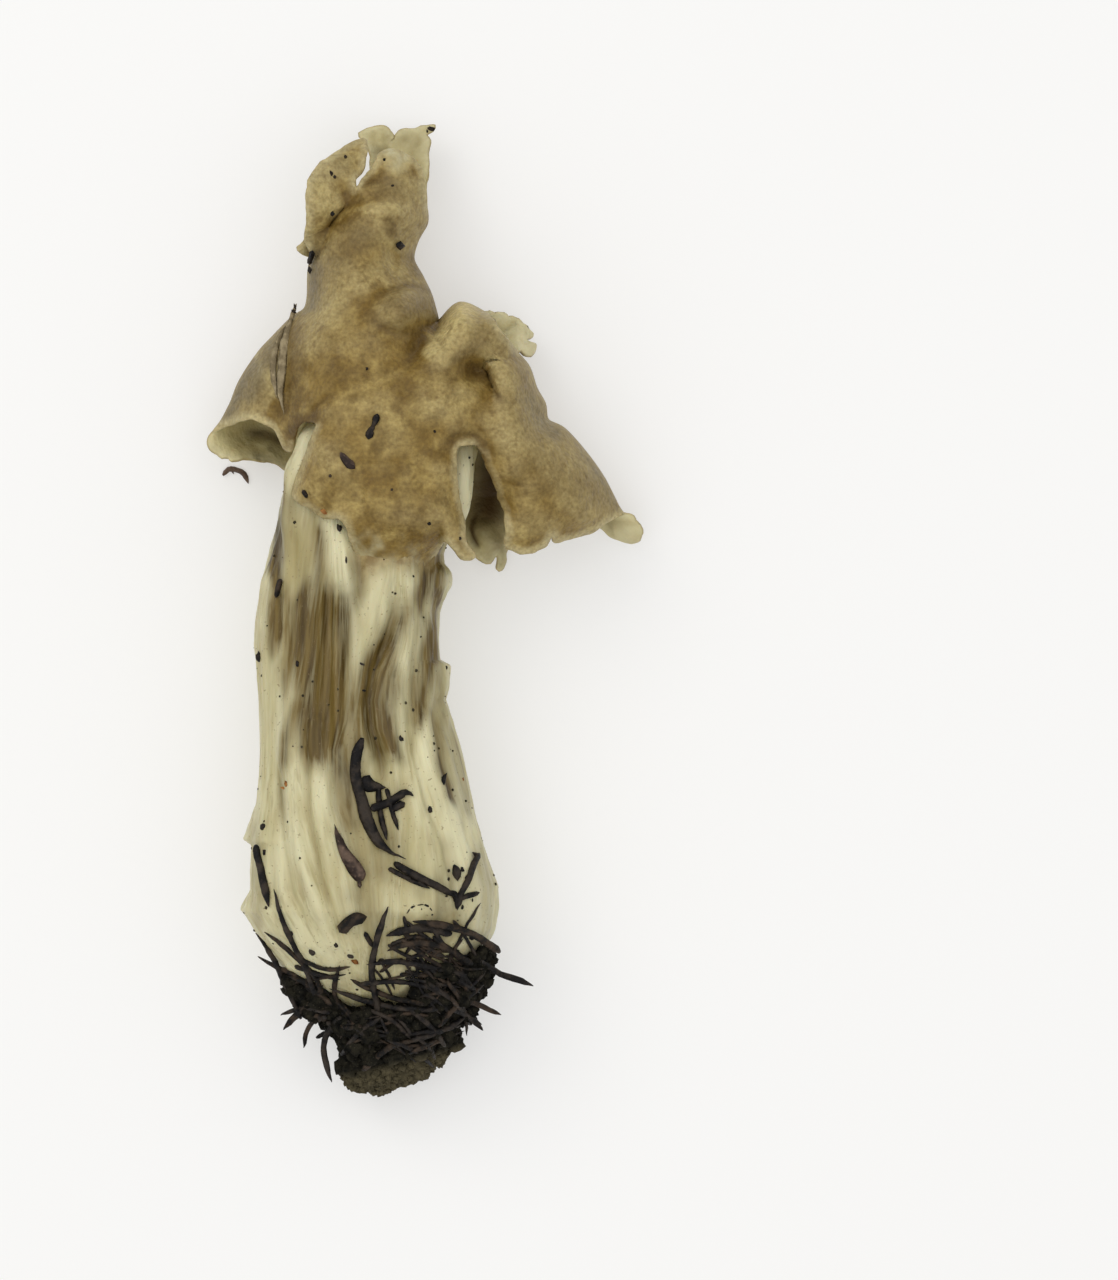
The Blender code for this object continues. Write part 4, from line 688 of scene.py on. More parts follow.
front_outline, folds, front_margins = layer_outline(FRONT_TOP, FRONT_RIGHT, FRONT_BOTTOM, 100)
back_outline, _, back_margins = layer_outline(BACK_TOP, BACK_RIGHT, BACK_BOTTOM, 200)
print(len(front_outline), "points round the front,", len(back_outline), "round the back")


# %% Heights of a layer
def nearest_of(points, lines):
    """Shortest distance from each point to any of several lines."""
    return np.min([distance_to(points, line)[0] for line in lines], axis=0)


front_plate = height_surface(FRONT_SPOTS)
back_plate = height_surface(BACK_SPOTS)
fold_plate = height_surface(FOLD_SPOTS)


def front_level(points):
    """Height of the front layer away from its folds, with creases pressed in."""
    level = front_plate(points)
    for _, line, half_width, height in CREASES:
        level = level + height * pressed(points, line, half_width)
    solid = np.column_stack([points, np.zeros(len(points))])
    return (level + lumps(solid, 5.0, 21) * 0.38 + lumps(solid, 2.2, 22) * 0.2
            + lumps(solid, 1.1, 26) * 0.05)


def back_level(points):
    """Height of the back layer, which never goes through the table."""
    solid = np.column_stack([points, np.zeros(len(points))])
    level = back_plate(points) + lumps(solid, 4.5, 23) * 0.3 + 2.0 * pressed(points, BACK_RIDGE, 1.2)
    return np.maximum(level, CAP_THICKNESS / 2 + TABLE_GAP)


def smooth_step(value):
    """0 to 1 with soft ends."""
    part = np.clip(value, 0.0, 1.0)
    return part * part * (3.0 - 2.0 * part)


def stipe_top(x, y):
    """Height of the front of the stipe, ribs included."""
    left, right, top, belly = (along_stipe(y, line)
                               for line in (STIPE_LEFT, STIPE_RIGHT, STIPE_TOP, STIPE_BELLY))
    across = np.clip(np.abs(2 * x - left - right) / (right - left), 0.0, 0.98)
    arch = (1.0 - across ** SECTION_POWER) ** (1.0 / SECTION_POWER)
    ribs = sum(height * crest_bells(x, y, points, half_width, RIB_TAPER)
               for _, points, half_width, height in RIBS)
    return (top + belly) / 2 + (top - belly) / 2 * arch + ribs * RIB_SHARE


def flap_end(x, y, start, reach):
    """1 at the lower end of the front flap, which is grown onto the stipe, 0 elsewhere."""
    sides = smooth_step((x + 11.4) / 2.0), smooth_step((3.6 - x) / 1.6)
    return smooth_step((start - y) / reach) * sides[0] * sides[1]


def layer_heights(points, level, margins):
    """Heights rounded over at the folds and waved at the margins."""
    from_fold = nearest_of(points, folds)
    from_margin = nearest_of(points, margins)
    inward = np.clip(from_fold / FOLD_RADIUS, 0.0, 1.0)
    rounding = np.sqrt(1.0 - (1.0 - inward) ** 2)
    wave = np.sin((points[:, 0] + points[:, 1]) * 2 * math.pi / 7.0) * 0.5
    wave += lumps(np.column_stack([points, points[:, 0] * 0]), 2.6, 24) * 0.45
    heights = level(points) + wave * np.exp(-from_margin / 2.0)
    if level is front_level:
        grown = flap_end(points[:, 0], points[:, 1], 13.5, 7.5)
        heights = heights + (stipe_top(points[:, 0], points[:, 1]) - 0.7 - heights) * grown
    middle = fold_plate(points)
    return middle + (heights - middle) * rounding, from_fold, from_margin


# %% Triangles of a layer
def layer_points(outline, margins):
    """Close rows along the folds, then an even field."""
    rows = []
    for angle in range(10, 90, 10):
        depth = FOLD_RADIUS * (1 - math.cos(math.radians(angle)))
        for fold in folds:
            for start, end in zip(fold[:-1], fold[1:]):
                along = (end - start).normalized()
                place = (start + end) / 2 + Vector((along.y, -along.x)) * depth
                rows.append((*place, depth))
    rows = np.array(rows)
    places, depths = rows[:, :2], rows[:, 2]
    keep = (inside(places, outline) & (nearest_of(places, folds) > 0.97 * depths)
            & (nearest_of(places, margins) > 0.6 * CAP_STEP))
    chosen = places[keep]
    xs = np.arange(-34.0, 34.0, CAP_STEP)
    ys = np.arange(3.0, 72.0, CAP_STEP * math.sqrt(3) / 2)
    field = np.array([(x + (row % 2) * CAP_STEP / 2, y) for row, y in enumerate(ys) for x in xs])
    field = field[inside(field, outline)]
    row_end = FOLD_RADIUS * (1 - math.cos(math.radians(80))) + 0.4 * CAP_STEP
    keep = (nearest_of(field, folds) > row_end) & (nearest_of(field, margins) > 0.6 * CAP_STEP)
    return np.vstack([chosen, field[keep]])


def cut_layer(outline, margins, level):
    """Corners, triangles and the distances from fold and margin for one layer."""
    rim = [Vector((p[0], p[1])) for p in outline]
    field = [Vector(p) for p in layer_points(outline, margins)]
    edges = [(index, (index + 1) % len(rim)) for index in range(len(rim))]
    flat, _, triangles, _, _, _ = delaunay_2d_cdt(rim + field, edges, [], 1, 1e-6)
    flat = np.array([(p.x, p.y) for p in flat])
    heights, from_fold, from_margin = layer_heights(flat, level, margins)
    return np.column_stack([flat, heights]), np.array(triangles), from_fold, from_margin


front = cut_layer(front_outline, front_margins, front_level)
back = cut_layer(back_outline, back_margins, back_level)
print(len(front[1]), "triangles in the front layer,", len(back[1]), "in the back layer")


# %% [markdown]
# ## Materials
# Each colour is built from what makes it on the real thing: large soft blotches, a fine grain
# and pale thin rims. Painted shade is laid into the hollows and painted highlights onto the crests.
# The relief and the listed tones, painted light and shade among them, come in as attributes of
# the mesh, so a stain stays in its furrow. Subsurface scattering stands for the wet flesh, which
# lets light in a short way. Plain image textures would be simpler, but they would tie the part
# to one photograph.

# %% Node tree helper
class Shading:
    """A small writer of node trees for a Principled material."""

    def __init__(self, name, roughness, specular, glow):
        self.material = bpy.data.materials.new(name)
        self.material.use_nodes = True
        self.tree = self.material.node_tree
        self.shader = self.tree.nodes["Principled BSDF"]
        self.shader.inputs["Roughness"].default_value = roughness
        self.shader.inputs["Specular IOR Level"].default_value = specular
        self.shader.inputs["Subsurface Weight"].default_value = glow
        self.shader.inputs["Subsurface Radius"].default_value = (1.0, 0.55, 0.25)
        self.shader.inputs["Subsurface Scale"].default_value = 0.8 * MM
        self.place = self.tree.nodes.new("ShaderNodeTexCoord").outputs["Object"]

    def link(self, source, target):
        self.tree.links.new(source, target)

    def value(self, name):
        """A float attribute of the mesh."""
        node = self.tree.nodes.new("ShaderNodeAttribute")
        node.attribute_name = name
        return node.outputs["Fac"]

    def flow(self, name):
        """Places that stay the same along each fibre, from a flow attribute in millimetres."""
        parts = self.tree.nodes.new("ShaderNodeSeparateXYZ")
        self.link(self.place, parts.inputs["Vector"])
        joined = self.tree.nodes.new("ShaderNodeCombineXYZ")
        self.link(self.times(self.value(name), MM), joined.inputs["X"])
        self.link(self.times(parts.outputs["Y"], 0.06), joined.inputs["Y"])
        self.link(self.times(parts.outputs["Z"], 0.6), joined.inputs["Z"])
        return joined.outputs["Vector"]

    def noise(self, size, detail=3.0, stretch=(1.0, 1.0, 1.0), place=None):
        """Noise with lumps of a size in millimetres."""
        mapping = self.tree.nodes.new("ShaderNodeMapping")
        mapping.inputs["Scale"].default_value = stretch
        self.link(place or self.place, mapping.inputs["Vector"])
        node = self.tree.nodes.new("ShaderNodeTexNoise")
        node.inputs["Scale"].default_value = 1.0 / (size * MM)
        node.inputs["Detail"].default_value = detail
        self.link(mapping.outputs["Vector"], node.inputs["Vector"])
        return node.outputs["Fac"]

    def fit(self, source, low, high, to_low=0.0, to_high=1.0):
        """A value stretched from one range to another and clamped to it."""
        node = self.tree.nodes.new("ShaderNodeMapRange")
        node.clamp = True
        for key, number in (("From Min", low), ("From Max", high),
                            ("To Min", to_low), ("To Max", to_high)):
            node.inputs[key].default_value = number
        self.link(source, node.inputs["Value"])
        return node.outputs["Result"]

    def times(self, first, second):
        """Two values multiplied."""
        node = self.tree.nodes.new("ShaderNodeMath")
        node.operation = "MULTIPLY"
        for socket, item in zip(node.inputs, (first, second)):
            if isinstance(item, float):
                socket.default_value = item
            else:
                self.link(item, socket)
        return node.outputs["Value"]

    def mix(self, amount, base, over, kind="MIX"):
        """One colour laid over another; a colour is a triple or a socket."""
        node = self.tree.nodes.new("ShaderNodeMix")
        node.data_type = "RGBA"
        node.blend_type = kind
        sockets = node.inputs[0], node.inputs[6], node.inputs[7]
        for socket, item in zip(sockets, (amount, base, over)):
            if isinstance(item, float):
                socket.default_value = item
            elif isinstance(item, tuple):
                socket.default_value = (*item, 1.0)
            else:
                self.link(item, socket)
        return node.outputs[2]

    def bumps(self, parts):
        """Fine relief from pairs of a height value and its depth in millimetres."""
        normal = None
        for height, depth in parts:
            node = self.tree.nodes.new("ShaderNodeBump")
            node.inputs["Distance"].default_value = depth * MM
            self.link(height, node.inputs["Height"])
            if normal is not None:
                self.link(normal, node.inputs["Normal"])
            normal = node.outputs["Normal"]
        self.link(normal, self.shader.inputs["Normal"])

    def finish(self, colour, roughness=None):
        """The colour and, if wanted, a varying roughness go to the shader."""
        self.link(colour, self.shader.inputs["Base Color"])
        if roughness is not None:
            self.link(roughness, self.shader.inputs["Roughness"])
        return self.material


# %% Skin of the cap
def cap_material():
    """Ochre brown with painted shade and highlights, pale rims and a fine grain."""
    skin = Shading("cap_skin_fine", 0.5, 0.25, 0.08)
    colour = skin.mix(skin.fit(skin.noise(2.4, 2.5), 0.37, 0.63), (0.172, 0.106, 0.020),
                      (0.365, 0.262, 0.086))
    blotch = skin.fit(skin.noise(5.5, 2.5), 0.46, 0.60, 0.0, 0.60)
    colour = skin.mix(blotch, colour, (0.200, 0.122, 0.022))
    # Painted shade in the hollows of the sheet and painted highlights on its crests.
    hollow = skin.value("hollow")
    colour = skin.mix(skin.fit(hollow, 0.04, 0.7, 0.0, 0.85), colour, (0.120, 0.070, 0.014))
    colour = skin.mix(skin.fit(hollow, -0.12, -0.7, 0.0, 0.6), colour, (0.420, 0.335, 0.155))
    # Paler and darker patches, with painted highlights and painted shade in the creases.
    tone_light_and_shade = skin.value("tone_light_and_shade")
    colour = skin.mix(skin.fit(tone_light_and_shade, 0.0, 1.0), colour, (0.570, 0.465, 0.215))
    colour = skin.mix(skin.fit(tone_light_and_shade, 0.0, -1.0), colour, (0.110, 0.066, 0.018))
    dusk = skin.times(skin.fit(skin.noise(1.15, 2.0), 0.47, 0.70),
                      skin.fit(skin.noise(4.5), 0.38, 0.60, 0.15, 0.60))
    colour = skin.mix(dusk, colour, (0.150, 0.092, 0.024))
    # Grey painted shade where the sheet rounds away over its folds.
    grey = skin.fit(skin.value("grey"), 0.0, 1.0, 0.0, 0.85)
    colour = skin.mix(grey, colour, (0.150, 0.122, 0.072))
    rim = skin.times(skin.fit(skin.value("margin"), 1.2, 0.15),
                     skin.fit(skin.noise(1.6), 0.3, 0.6, 0.45, 1.0))
    rim = skin.times(rim, skin.fit(tone_light_and_shade, -0.5, -0.05))
    colour = skin.mix(skin.times(rim, 0.85), colour, (0.500, 0.425, 0.235))
    grain = skin.noise(0.55, 3.0)
    speckle = skin.mix(skin.fit(grain, 0.32, 0.68), (0.80, 0.77, 0.70), (1.16, 1.16, 1.12))
    colour = skin.mix(1.0, colour, speckle, "MULTIPLY")
    inner = skin.mix(skin.fit(skin.noise(2.0), 0.38, 0.62), (0.560, 0.475, 0.235),
                     (0.670, 0.590, 0.315))
    inner = skin.mix(skin.fit(skin.value("shade"), 0.0, 1.0), inner, (0.066, 0.036, 0.010))
    inner = skin.mix(skin.times(rim, 0.7), inner, (0.680, 0.620, 0.370))
    colour = skin.mix(skin.value("inner"), colour, inner)
    cream = skin.mix(skin.fit(skin.noise(0.9, 3.0, (1.0, 0.3, 1.0)), 0.35, 0.65),
                     (0.560, 0.510, 0.310), (0.430, 0.360, 0.185))
    colour = skin.mix(skin.fit(skin.value("cream"), 0.0, 1.0), colour, cream)
    skin.bumps([(skin.noise(1.3, 3.0), 0.30), (grain, 0.08)])
    return skin.finish(colour, skin.fit(skin.noise(1.2), 0.3, 0.7, 0.42, 0.62))


# %% Flesh of the stipe
def stipe_material():
    """Cream with fibres, smoky stains and painted shade in the furrows, and white flesh and painted
    highlights between them.
    """
    flesh = Shading("stipe_flesh_fine", 0.42, 0.32, 0.15)
    flow = flesh.flow("flow")
    along = flesh.noise(1.3, 3.0, place=flow)
    fibre = flesh.noise(0.45, 3.0, place=flow)
    colour = flesh.mix(flesh.fit(along, 0.36, 0.62), (0.510, 0.455, 0.235), (0.680, 0.635, 0.395))
    patch = flesh.fit(flesh.noise(3.6, 3.0, (1.0, 0.4, 1.0)), 0.46, 0.66, 0.0, 0.65)
    colour = flesh.mix(patch, colour, (0.470, 0.400, 0.205))
    colour = flesh.mix(flesh.fit(flesh.value("tan"), 0.0, 1.0), colour, (0.420, 0.345, 0.140))
    # The depth of the relief paints shade into the furrows and highlights onto the crests.
    hollow = flesh.value("hollow")
    colour = flesh.mix(flesh.fit(hollow, 0.08, 0.6, 0.0, 0.65), colour, (0.260, 0.195, 0.080))
    colour = flesh.mix(flesh.fit(fibre, 0.54, 0.68, 0.0, 0.45), colour, (0.330, 0.260, 0.120))
    colour = flesh.mix(flesh.fit(hollow, -0.10, -0.6, 0.0, 0.4), colour, (0.740, 0.695, 0.440))
    # White flesh, which also paints light onto the right flank and into the slits of the cap.
    white = flesh.fit(flesh.value("pale"), 0.0, 1.0, 0.0, 0.8)
    colour = flesh.mix(white, colour, (0.790, 0.745, 0.480))
    stain = flesh.times(flesh.value("stain"), flesh.fit(fibre, 0.36, 0.64, 1.12, 0.74))
    smoke = flesh.mix(flesh.fit(flesh.noise(1.0, 3.0, place=flow), 0.36, 0.62),
                      (0.072, 0.044, 0.007), (0.176, 0.118, 0.028))
    colour = flesh.mix(flesh.fit(stain, 0.03, 0.82), colour, smoke)
    freckle = flesh.fit(flesh.noise(0.5, 2.0), 0.66, 0.72, 0.0, 0.6)
    colour = flesh.mix(freckle, colour, (0.200, 0.140, 0.060))
    brown = flesh.mix(flesh.fit(flesh.noise(1.4), 0.38, 0.62), (0.225, 0.150, 0.050),
                      (0.380, 0.290, 0.130))
    colour = flesh.mix(flesh.value("brown"), colour, brown)
    colour = flesh.mix(flesh.fit(flesh.value("dirt"), 0.0, 1.0), colour, (0.060, 0.045, 0.026))
    flesh.bumps([(along, 0.25), (fibre, 0.12)])
    return flesh.finish(colour)


# %% Soil and litter
# The lower end of the clod is paler. Its edge is slanted: y - slope * x, in millimetres.
CRUST_SLOPE = 0.25
CRUST_START, CRUST_CRUMBS, CRUST_FULL = -63.8, -64.6, -65.4


def soil_material(name, dark, light, size):
    """Crumbly humus: dark, dry and rough, with a paler crust at the bottom."""
    soil = Shading(name, 0.95, 0.08, 0.0)
    colour = soil.mix(soil.fit(soil.noise(size, 4.0), 0.36, 0.64), dark, light)
    colour = soil.mix(soil.fit(soil.noise(0.25, 2.0), 0.64, 0.76, 0.0, 0.5), colour, (0.150, 0.125, 0.080))
    parts = soil.tree.nodes.new("ShaderNodeSeparateXYZ")
    soil.link(soil.place, parts.inputs["Vector"])
    slope = soil.tree.nodes.new("ShaderNodeMath")
    slope.operation = "SUBTRACT"
    soil.link(parts.outputs["Y"], slope.inputs[0])
    soil.link(soil.times(parts.outputs["X"], CRUST_SLOPE), slope.inputs[1])
    bottom = soil.times(soil.fit(slope.outputs["Value"], CRUST_START * MM, CRUST_FULL * MM),
                        soil.fit(soil.noise(1.8), 0.3, 0.6, 0.4, 1.0))
    colour = soil.mix(bottom, colour, (0.120, 0.100, 0.056))
    soil.bumps([(soil.noise(0.8, 5.0), 0.5), (soil.noise(0.22, 3.0), 0.2)])
    return soil.finish(colour)


def litter_material(name, dark, light, sheen):
    """Dead needles: a waxy skin with fine lines along it."""
    dry = Shading(name, 0.6, sheen, 0.0)
    lines = dry.noise(0.45, 4.0)
    colour = dry.mix(dry.fit(dry.noise(1.8, 2.0), 0.42, 0.62), dark, light)
    colour = dry.mix(dry.fit(lines, 0.58, 0.75, 0.0, 0.5), colour, tuple(1.8 * part for part in light))
    dry.bumps([(lines, 0.3)])
    return dry.finish(colour, dry.fit(lines, 0.3, 0.7, 0.45, 0.8))


cap_skin = cap_material()
stipe_flesh = stipe_material()
soil_dark = soil_material("soil_fine", (0.006, 0.006, 0.005), (0.026, 0.023, 0.015), 1.3)
soil_crust = soil_material("soil_crust", (0.020, 0.018, 0.012), (0.100, 0.084, 0.048), 0.8)
needle_dark = litter_material("needle_dark", (0.006, 0.005, 0.005), (0.041, 0.031, 0.023), 0.2)
needle_dull = litter_material("needle_dull", (0.036, 0.024, 0.019), (0.140, 0.094, 0.068), 0.15)
rusty = litter_material("rusty", (0.160, 0.060, 0.016), (0.420, 0.190, 0.060), 0.1)
needle_brown = litter_material("needle_brown", (0.007, 0.006, 0.005), (0.054, 0.036, 0.023), 0.18)
blade_pale = litter_material("blade_pale", (0.200, 0.155, 0.085), (0.360, 0.290, 0.170), 0.15)
print(len(bpy.data.materials), "materials")

# %% [markdown]
# ## Making the cap solid
# The two layers meet in shared points along the folds, so they weld into one sheet whose outer
# side always faces out. Each point is then moved half the thickness out and half in, and a
# narrow rounded strip closes the free margins. A Solidify modifier would do the same, but here
# the thickness has to fade towards the margins, where the real flesh is thin and lets light
# through.

# %% Painted tones of the cap, real patches along with painted highlights and painted shade: points (x, y), half width, strength
# Paler margins and patches, and painted highlights on the ridge of the hump and across the horn.
PALE_AND_HIGHLIGHT = [
    ([(1.4, 36.8), (3.5, 39.5), (5, 41.5), (6, 42.8)], 1.6, 1.15),
    ([(-9.6, 57.3), (-6, 57.2), (-3, 57.5)], 0.7, 0.5),
    ([(-5, 66), (-4.4, 64.4), (-3.8, 63.4), (-3.2, 64.6), (-2.7, 65.6)], 1.1, 1),
    ([(-0.6, 65), (-0.3, 61), (0, 58.4)], 0.7, 0.5), ([(-9.6, 60.6), (-8, 62.8), (-6.4, 65.4)], 0.6, 0.5),
    ([(-14.8, 54), (-14.6, 59), (-12, 63.5), (-10, 66)], 3, 0.45),
    ([(-16.8, 53.4), (-16.6, 57), (-16.4, 60.5), (-15.2, 63.2), (-11.4, 66.2)], 0.9, 0.6),
    ([(-24, 36.8), (-23.5, 35.4), (-22.8, 34.2), (-21.5, 32.5), (-21.2, 31)], 0.45, 0.7),
    ([(-30.6, 25.6), (-28.6, 26.8), (-25, 27.4), (-23, 26.8), (-21.2, 25.6)], 0.5, 0.9),
    ([(12.4, 8.8), (14, 8.3), (15.8, 8.5), (17.4, 9.6)], 0.8, 0.9),
    ([(19.4, 10), (22, 10.8), (25, 12)], 0.6, 0.6), ([(4.4, 22.6), (4.7, 18), (5.4, 13.5)], 0.5, 0.4),
    ([(25.7, 12), (27, 13), (28, 13.6), (29, 13.7)], 0.7, 0.9),
    ([(-17.8, 51.6), (-17.2, 52.6)], 1.1, 0.6),
    ([(11.6, 37.6), (10.9, 36), (11.2, 34), (12, 32)], 0.9, 0.35),
    ([(-5.7, 53), (-5.3, 50.5), (-4.5, 47.6)], 1, 0.42),
    ([(10.1, 36.6), (10.3, 35.2), (10.9, 33.4), (11.8, 31)], 0.4, 0.7),
    ([(-14.6, 62.6), (-13.6, 58)], 2.6, 0.85), ([(-14, 22), (-11, 17)], 3.2, 0.12),
    ([(9, 26.5), (12, 23.5)], 2, 0.35), ([(-9, 46), (-7, 48.5)], 1.6, 0.35),
    ([(-13, 43), (-10, 38)], 2.4, 0.22), ([(1, 28), (5, 28.6)], 1.8, 0.3),
    ([(-4, 24), (-6, 29)], 2.6, 0.22), ([(6.8, 7.4), (5.6, 8)], 0.8, 0.5),
    ([(13, 12), (20, 12.6)], 1.6, 0.25), ([(5.2, 43.4), (3.6, 42.6)], 0.6, 0.4),
    ([(2, 20), (3, 15)], 1.2, 0.2), ([(-17.2, 20), (-17.8, 17)], 0.9, 0.3)]
TOP_BUMP = [([(-4.9, 66), (-4.3, 64.4), (-3.9, 63.8), (-3.3, 64.8), (-3.0, 65.6)], 0.9, 0.9)]
# Darker patches, and painted shade in the creases, valleys and hollows of the sheet.
DARK_AND_SHADE = [
    ([(-4.6, 43.2), (-2.4, 42.4), (-0.4, 43.6)], 1.4, 0.45),
    ([(-7, 41.6), (-4, 39.4), (-1.6, 39.6)], 1.3, 0.65),
    ([(-9, 58.3), (-11, 57.6), (-13, 55.8), (-15, 52.8)], 1, 0.65),
    ([(-12.6, 55), (-9, 54), (-12, 50.6)], 2.3, 0.5), ([(-5, 54), (-5, 56)], 0.8, 0.75),
    ([(-6.4, 59.6), (-3.6, 59.2)], 1.3, 0.4), ([(-18, 27.4), (-17, 26.9)], 0.9, 1),
    ([(-2.6, 50.6), (-1.4, 48)], 0.9, 0.5), ([(-16.6, 27.4), (-15, 28.8), (-13, 30.4)], 0.6, 0.5),
    ([(3.6, 23.6), (5, 25), (7.4, 25.2), (8.8, 23.6)], 1.1, 0.65), ([(6, 34.6), (8.8, 33.9)], 1.6, 0.75),
    ([(7, 34.5), (9, 33.5), (10, 32), (11, 30)], 0.7, 0.7),
    ([(9.2, 36.6), (9.4, 34.6), (10, 32.6), (11, 30.2)], 0.45, 0.9),
    ([(2.2, 41.4), (0, 38), (-2, 35)], 1.1, 0.6), ([(-6, 44.4), (-3, 46), (0, 45.8)], 0.8, 0.6),
    ([(-8.5, 60.5), (-6, 61.6), (-4, 60)], 1.1, 0.45),
    ([(8.8, 39.2), (6.8, 37.4), (4.6, 35.8)], 1.3, 0.5), ([(-12.6, 61), (-10.6, 58.6)], 1.2, 0.45),
    ([(-3, 15), (-1, 13)], 2.6, 0.25), ([(2.4, 11.5), (1.6, 13.5)], 0.9, 0.35),
    ([(-18.8, 25.4), (-17.4, 27), (-15.4, 27.4)], 1, 0.95), ([(8.6, 22), (10.6, 17)], 0.8, 0.5),
    ([(16, 20), (20, 17)], 4, 0.2), ([(-20.4, 27.6), (-18.4, 28.6)], 1, 0.5),
    ([(-18.6, 40), (-18.2, 35), (-18, 30)], 1.7, 0.6), ([(0.6, 34.6), (3.6, 33.2)], 1.4, 0.4),
    ([(14.6, 30.5), (13.6, 33.4), (12.4, 36.6)], 0.9, 0.35), ([(19, 19), (24, 16.5)], 2, 0.3),
    ([(11.4, 14), (10.2, 18)], 1, 0.35), ([(-13, 34), (-9, 33)], 1.5, 0.3),
    ([(-2, 31), (-5, 33)], 1.3, 0.3), ([(-6.6, 19), (-3, 20)], 1.3, 0.25),
    ([(14, 27), (16.6, 23)], 1.2, 0.3), ([(-14.6, 46.6), (-13.6, 49)], 1.4, 0.35)]
# Grey painted shade where the sheet rounds away over the folds, and in the grey streak.
GREY_SHADE = [
    ([(-28.5, 28.6), (-26.6, 32), (-24.6, 35.6)], 2, 1),
    ([(-25, 30.5), (-23, 34.5), (-21.4, 38.6)], 1.3, 0.75),
    ([(-16.2, 43.6), (-15.8, 46), (-16, 50.5)], 1.5, 1), ([(15, 30), (16.4, 27), (18.6, 25)], 1.2, 0.7),
    ([(-14.6, 62.4), (-12, 63.6)], 1.6, 0.35), ([(22.6, 22.4), (25.4, 18.6), (27.6, 15)], 0.9, 0.8),
    ([(-6.6, 60), (-4.6, 61.5)], 1.2, 0.3)]
SHADE = [
    ([(10, 20.6), (9.2, 14.6)], 4.4, 1), ([(9.8, 12), (10.6, 8.4)], 2.2, 0.55),
    ([(7.6, 13.6), (7, 11.6), (7.4, 9.6)], 0.9, 0.95), ([(-7.8, 66.2), (-5.8, 66)], 1.4, 0.55),
    ([(-4, 68.8), (0.4, 67)], 3, 0.34), ([(-8.6, 69.2), (-6.4, 69)], 1.6, 0.15),
    ([(-24.6, 21.8), (-22, 21.1), (-20.2, 20.4)], 0.8, 1),
    ([(-21.6, 24.4), (-23.4, 25.2), (-25.4, 25.6)], 1.3, 0.8), ([(-22.6, 23.2), (-21.4, 22.2)], 0.8, 0.5),
    ([(27, 12.6), (28.6, 12.2)], 0.8, 0.45), ([(6.4, 40), (9.6, 39.4)], 2, 0.4)]


def felt(points, marks):
    """The strongest of several soft marks at each place."""
    total = np.zeros(len(points))
    for line, half_width, strength in marks:
        distance, _ = distance_to(points, curve_through(line, 1.0))
        total = np.maximum(total, strength * bell(distance, half_width))
    return total


# %% Weld, thicken and close the rim
def hollows(corners, triangles, normals, rounds):
    """How deep each corner lies below its smoothed neighbourhood."""
    smooth = corners.copy()
    pairs = np.vstack([triangles[:, (0, 1)], triangles[:, (1, 2)], triangles[:, (2, 0)]])
    count = np.bincount(pairs.ravel(), minlength=len(corners)).astype(float)[:, None]
    for _ in range(rounds):
        total = np.zeros_like(smooth)
        for axis in range(3):
            total[:, axis] = (np.bincount(pairs[:, 0], smooth[pairs[:, 1], axis], len(corners))
                              + np.bincount(pairs[:, 1], smooth[pairs[:, 0], axis], len(corners)))
        smooth = total / np.maximum(count, 1.0)
    return ((smooth - corners) * normals).sum(axis=1)


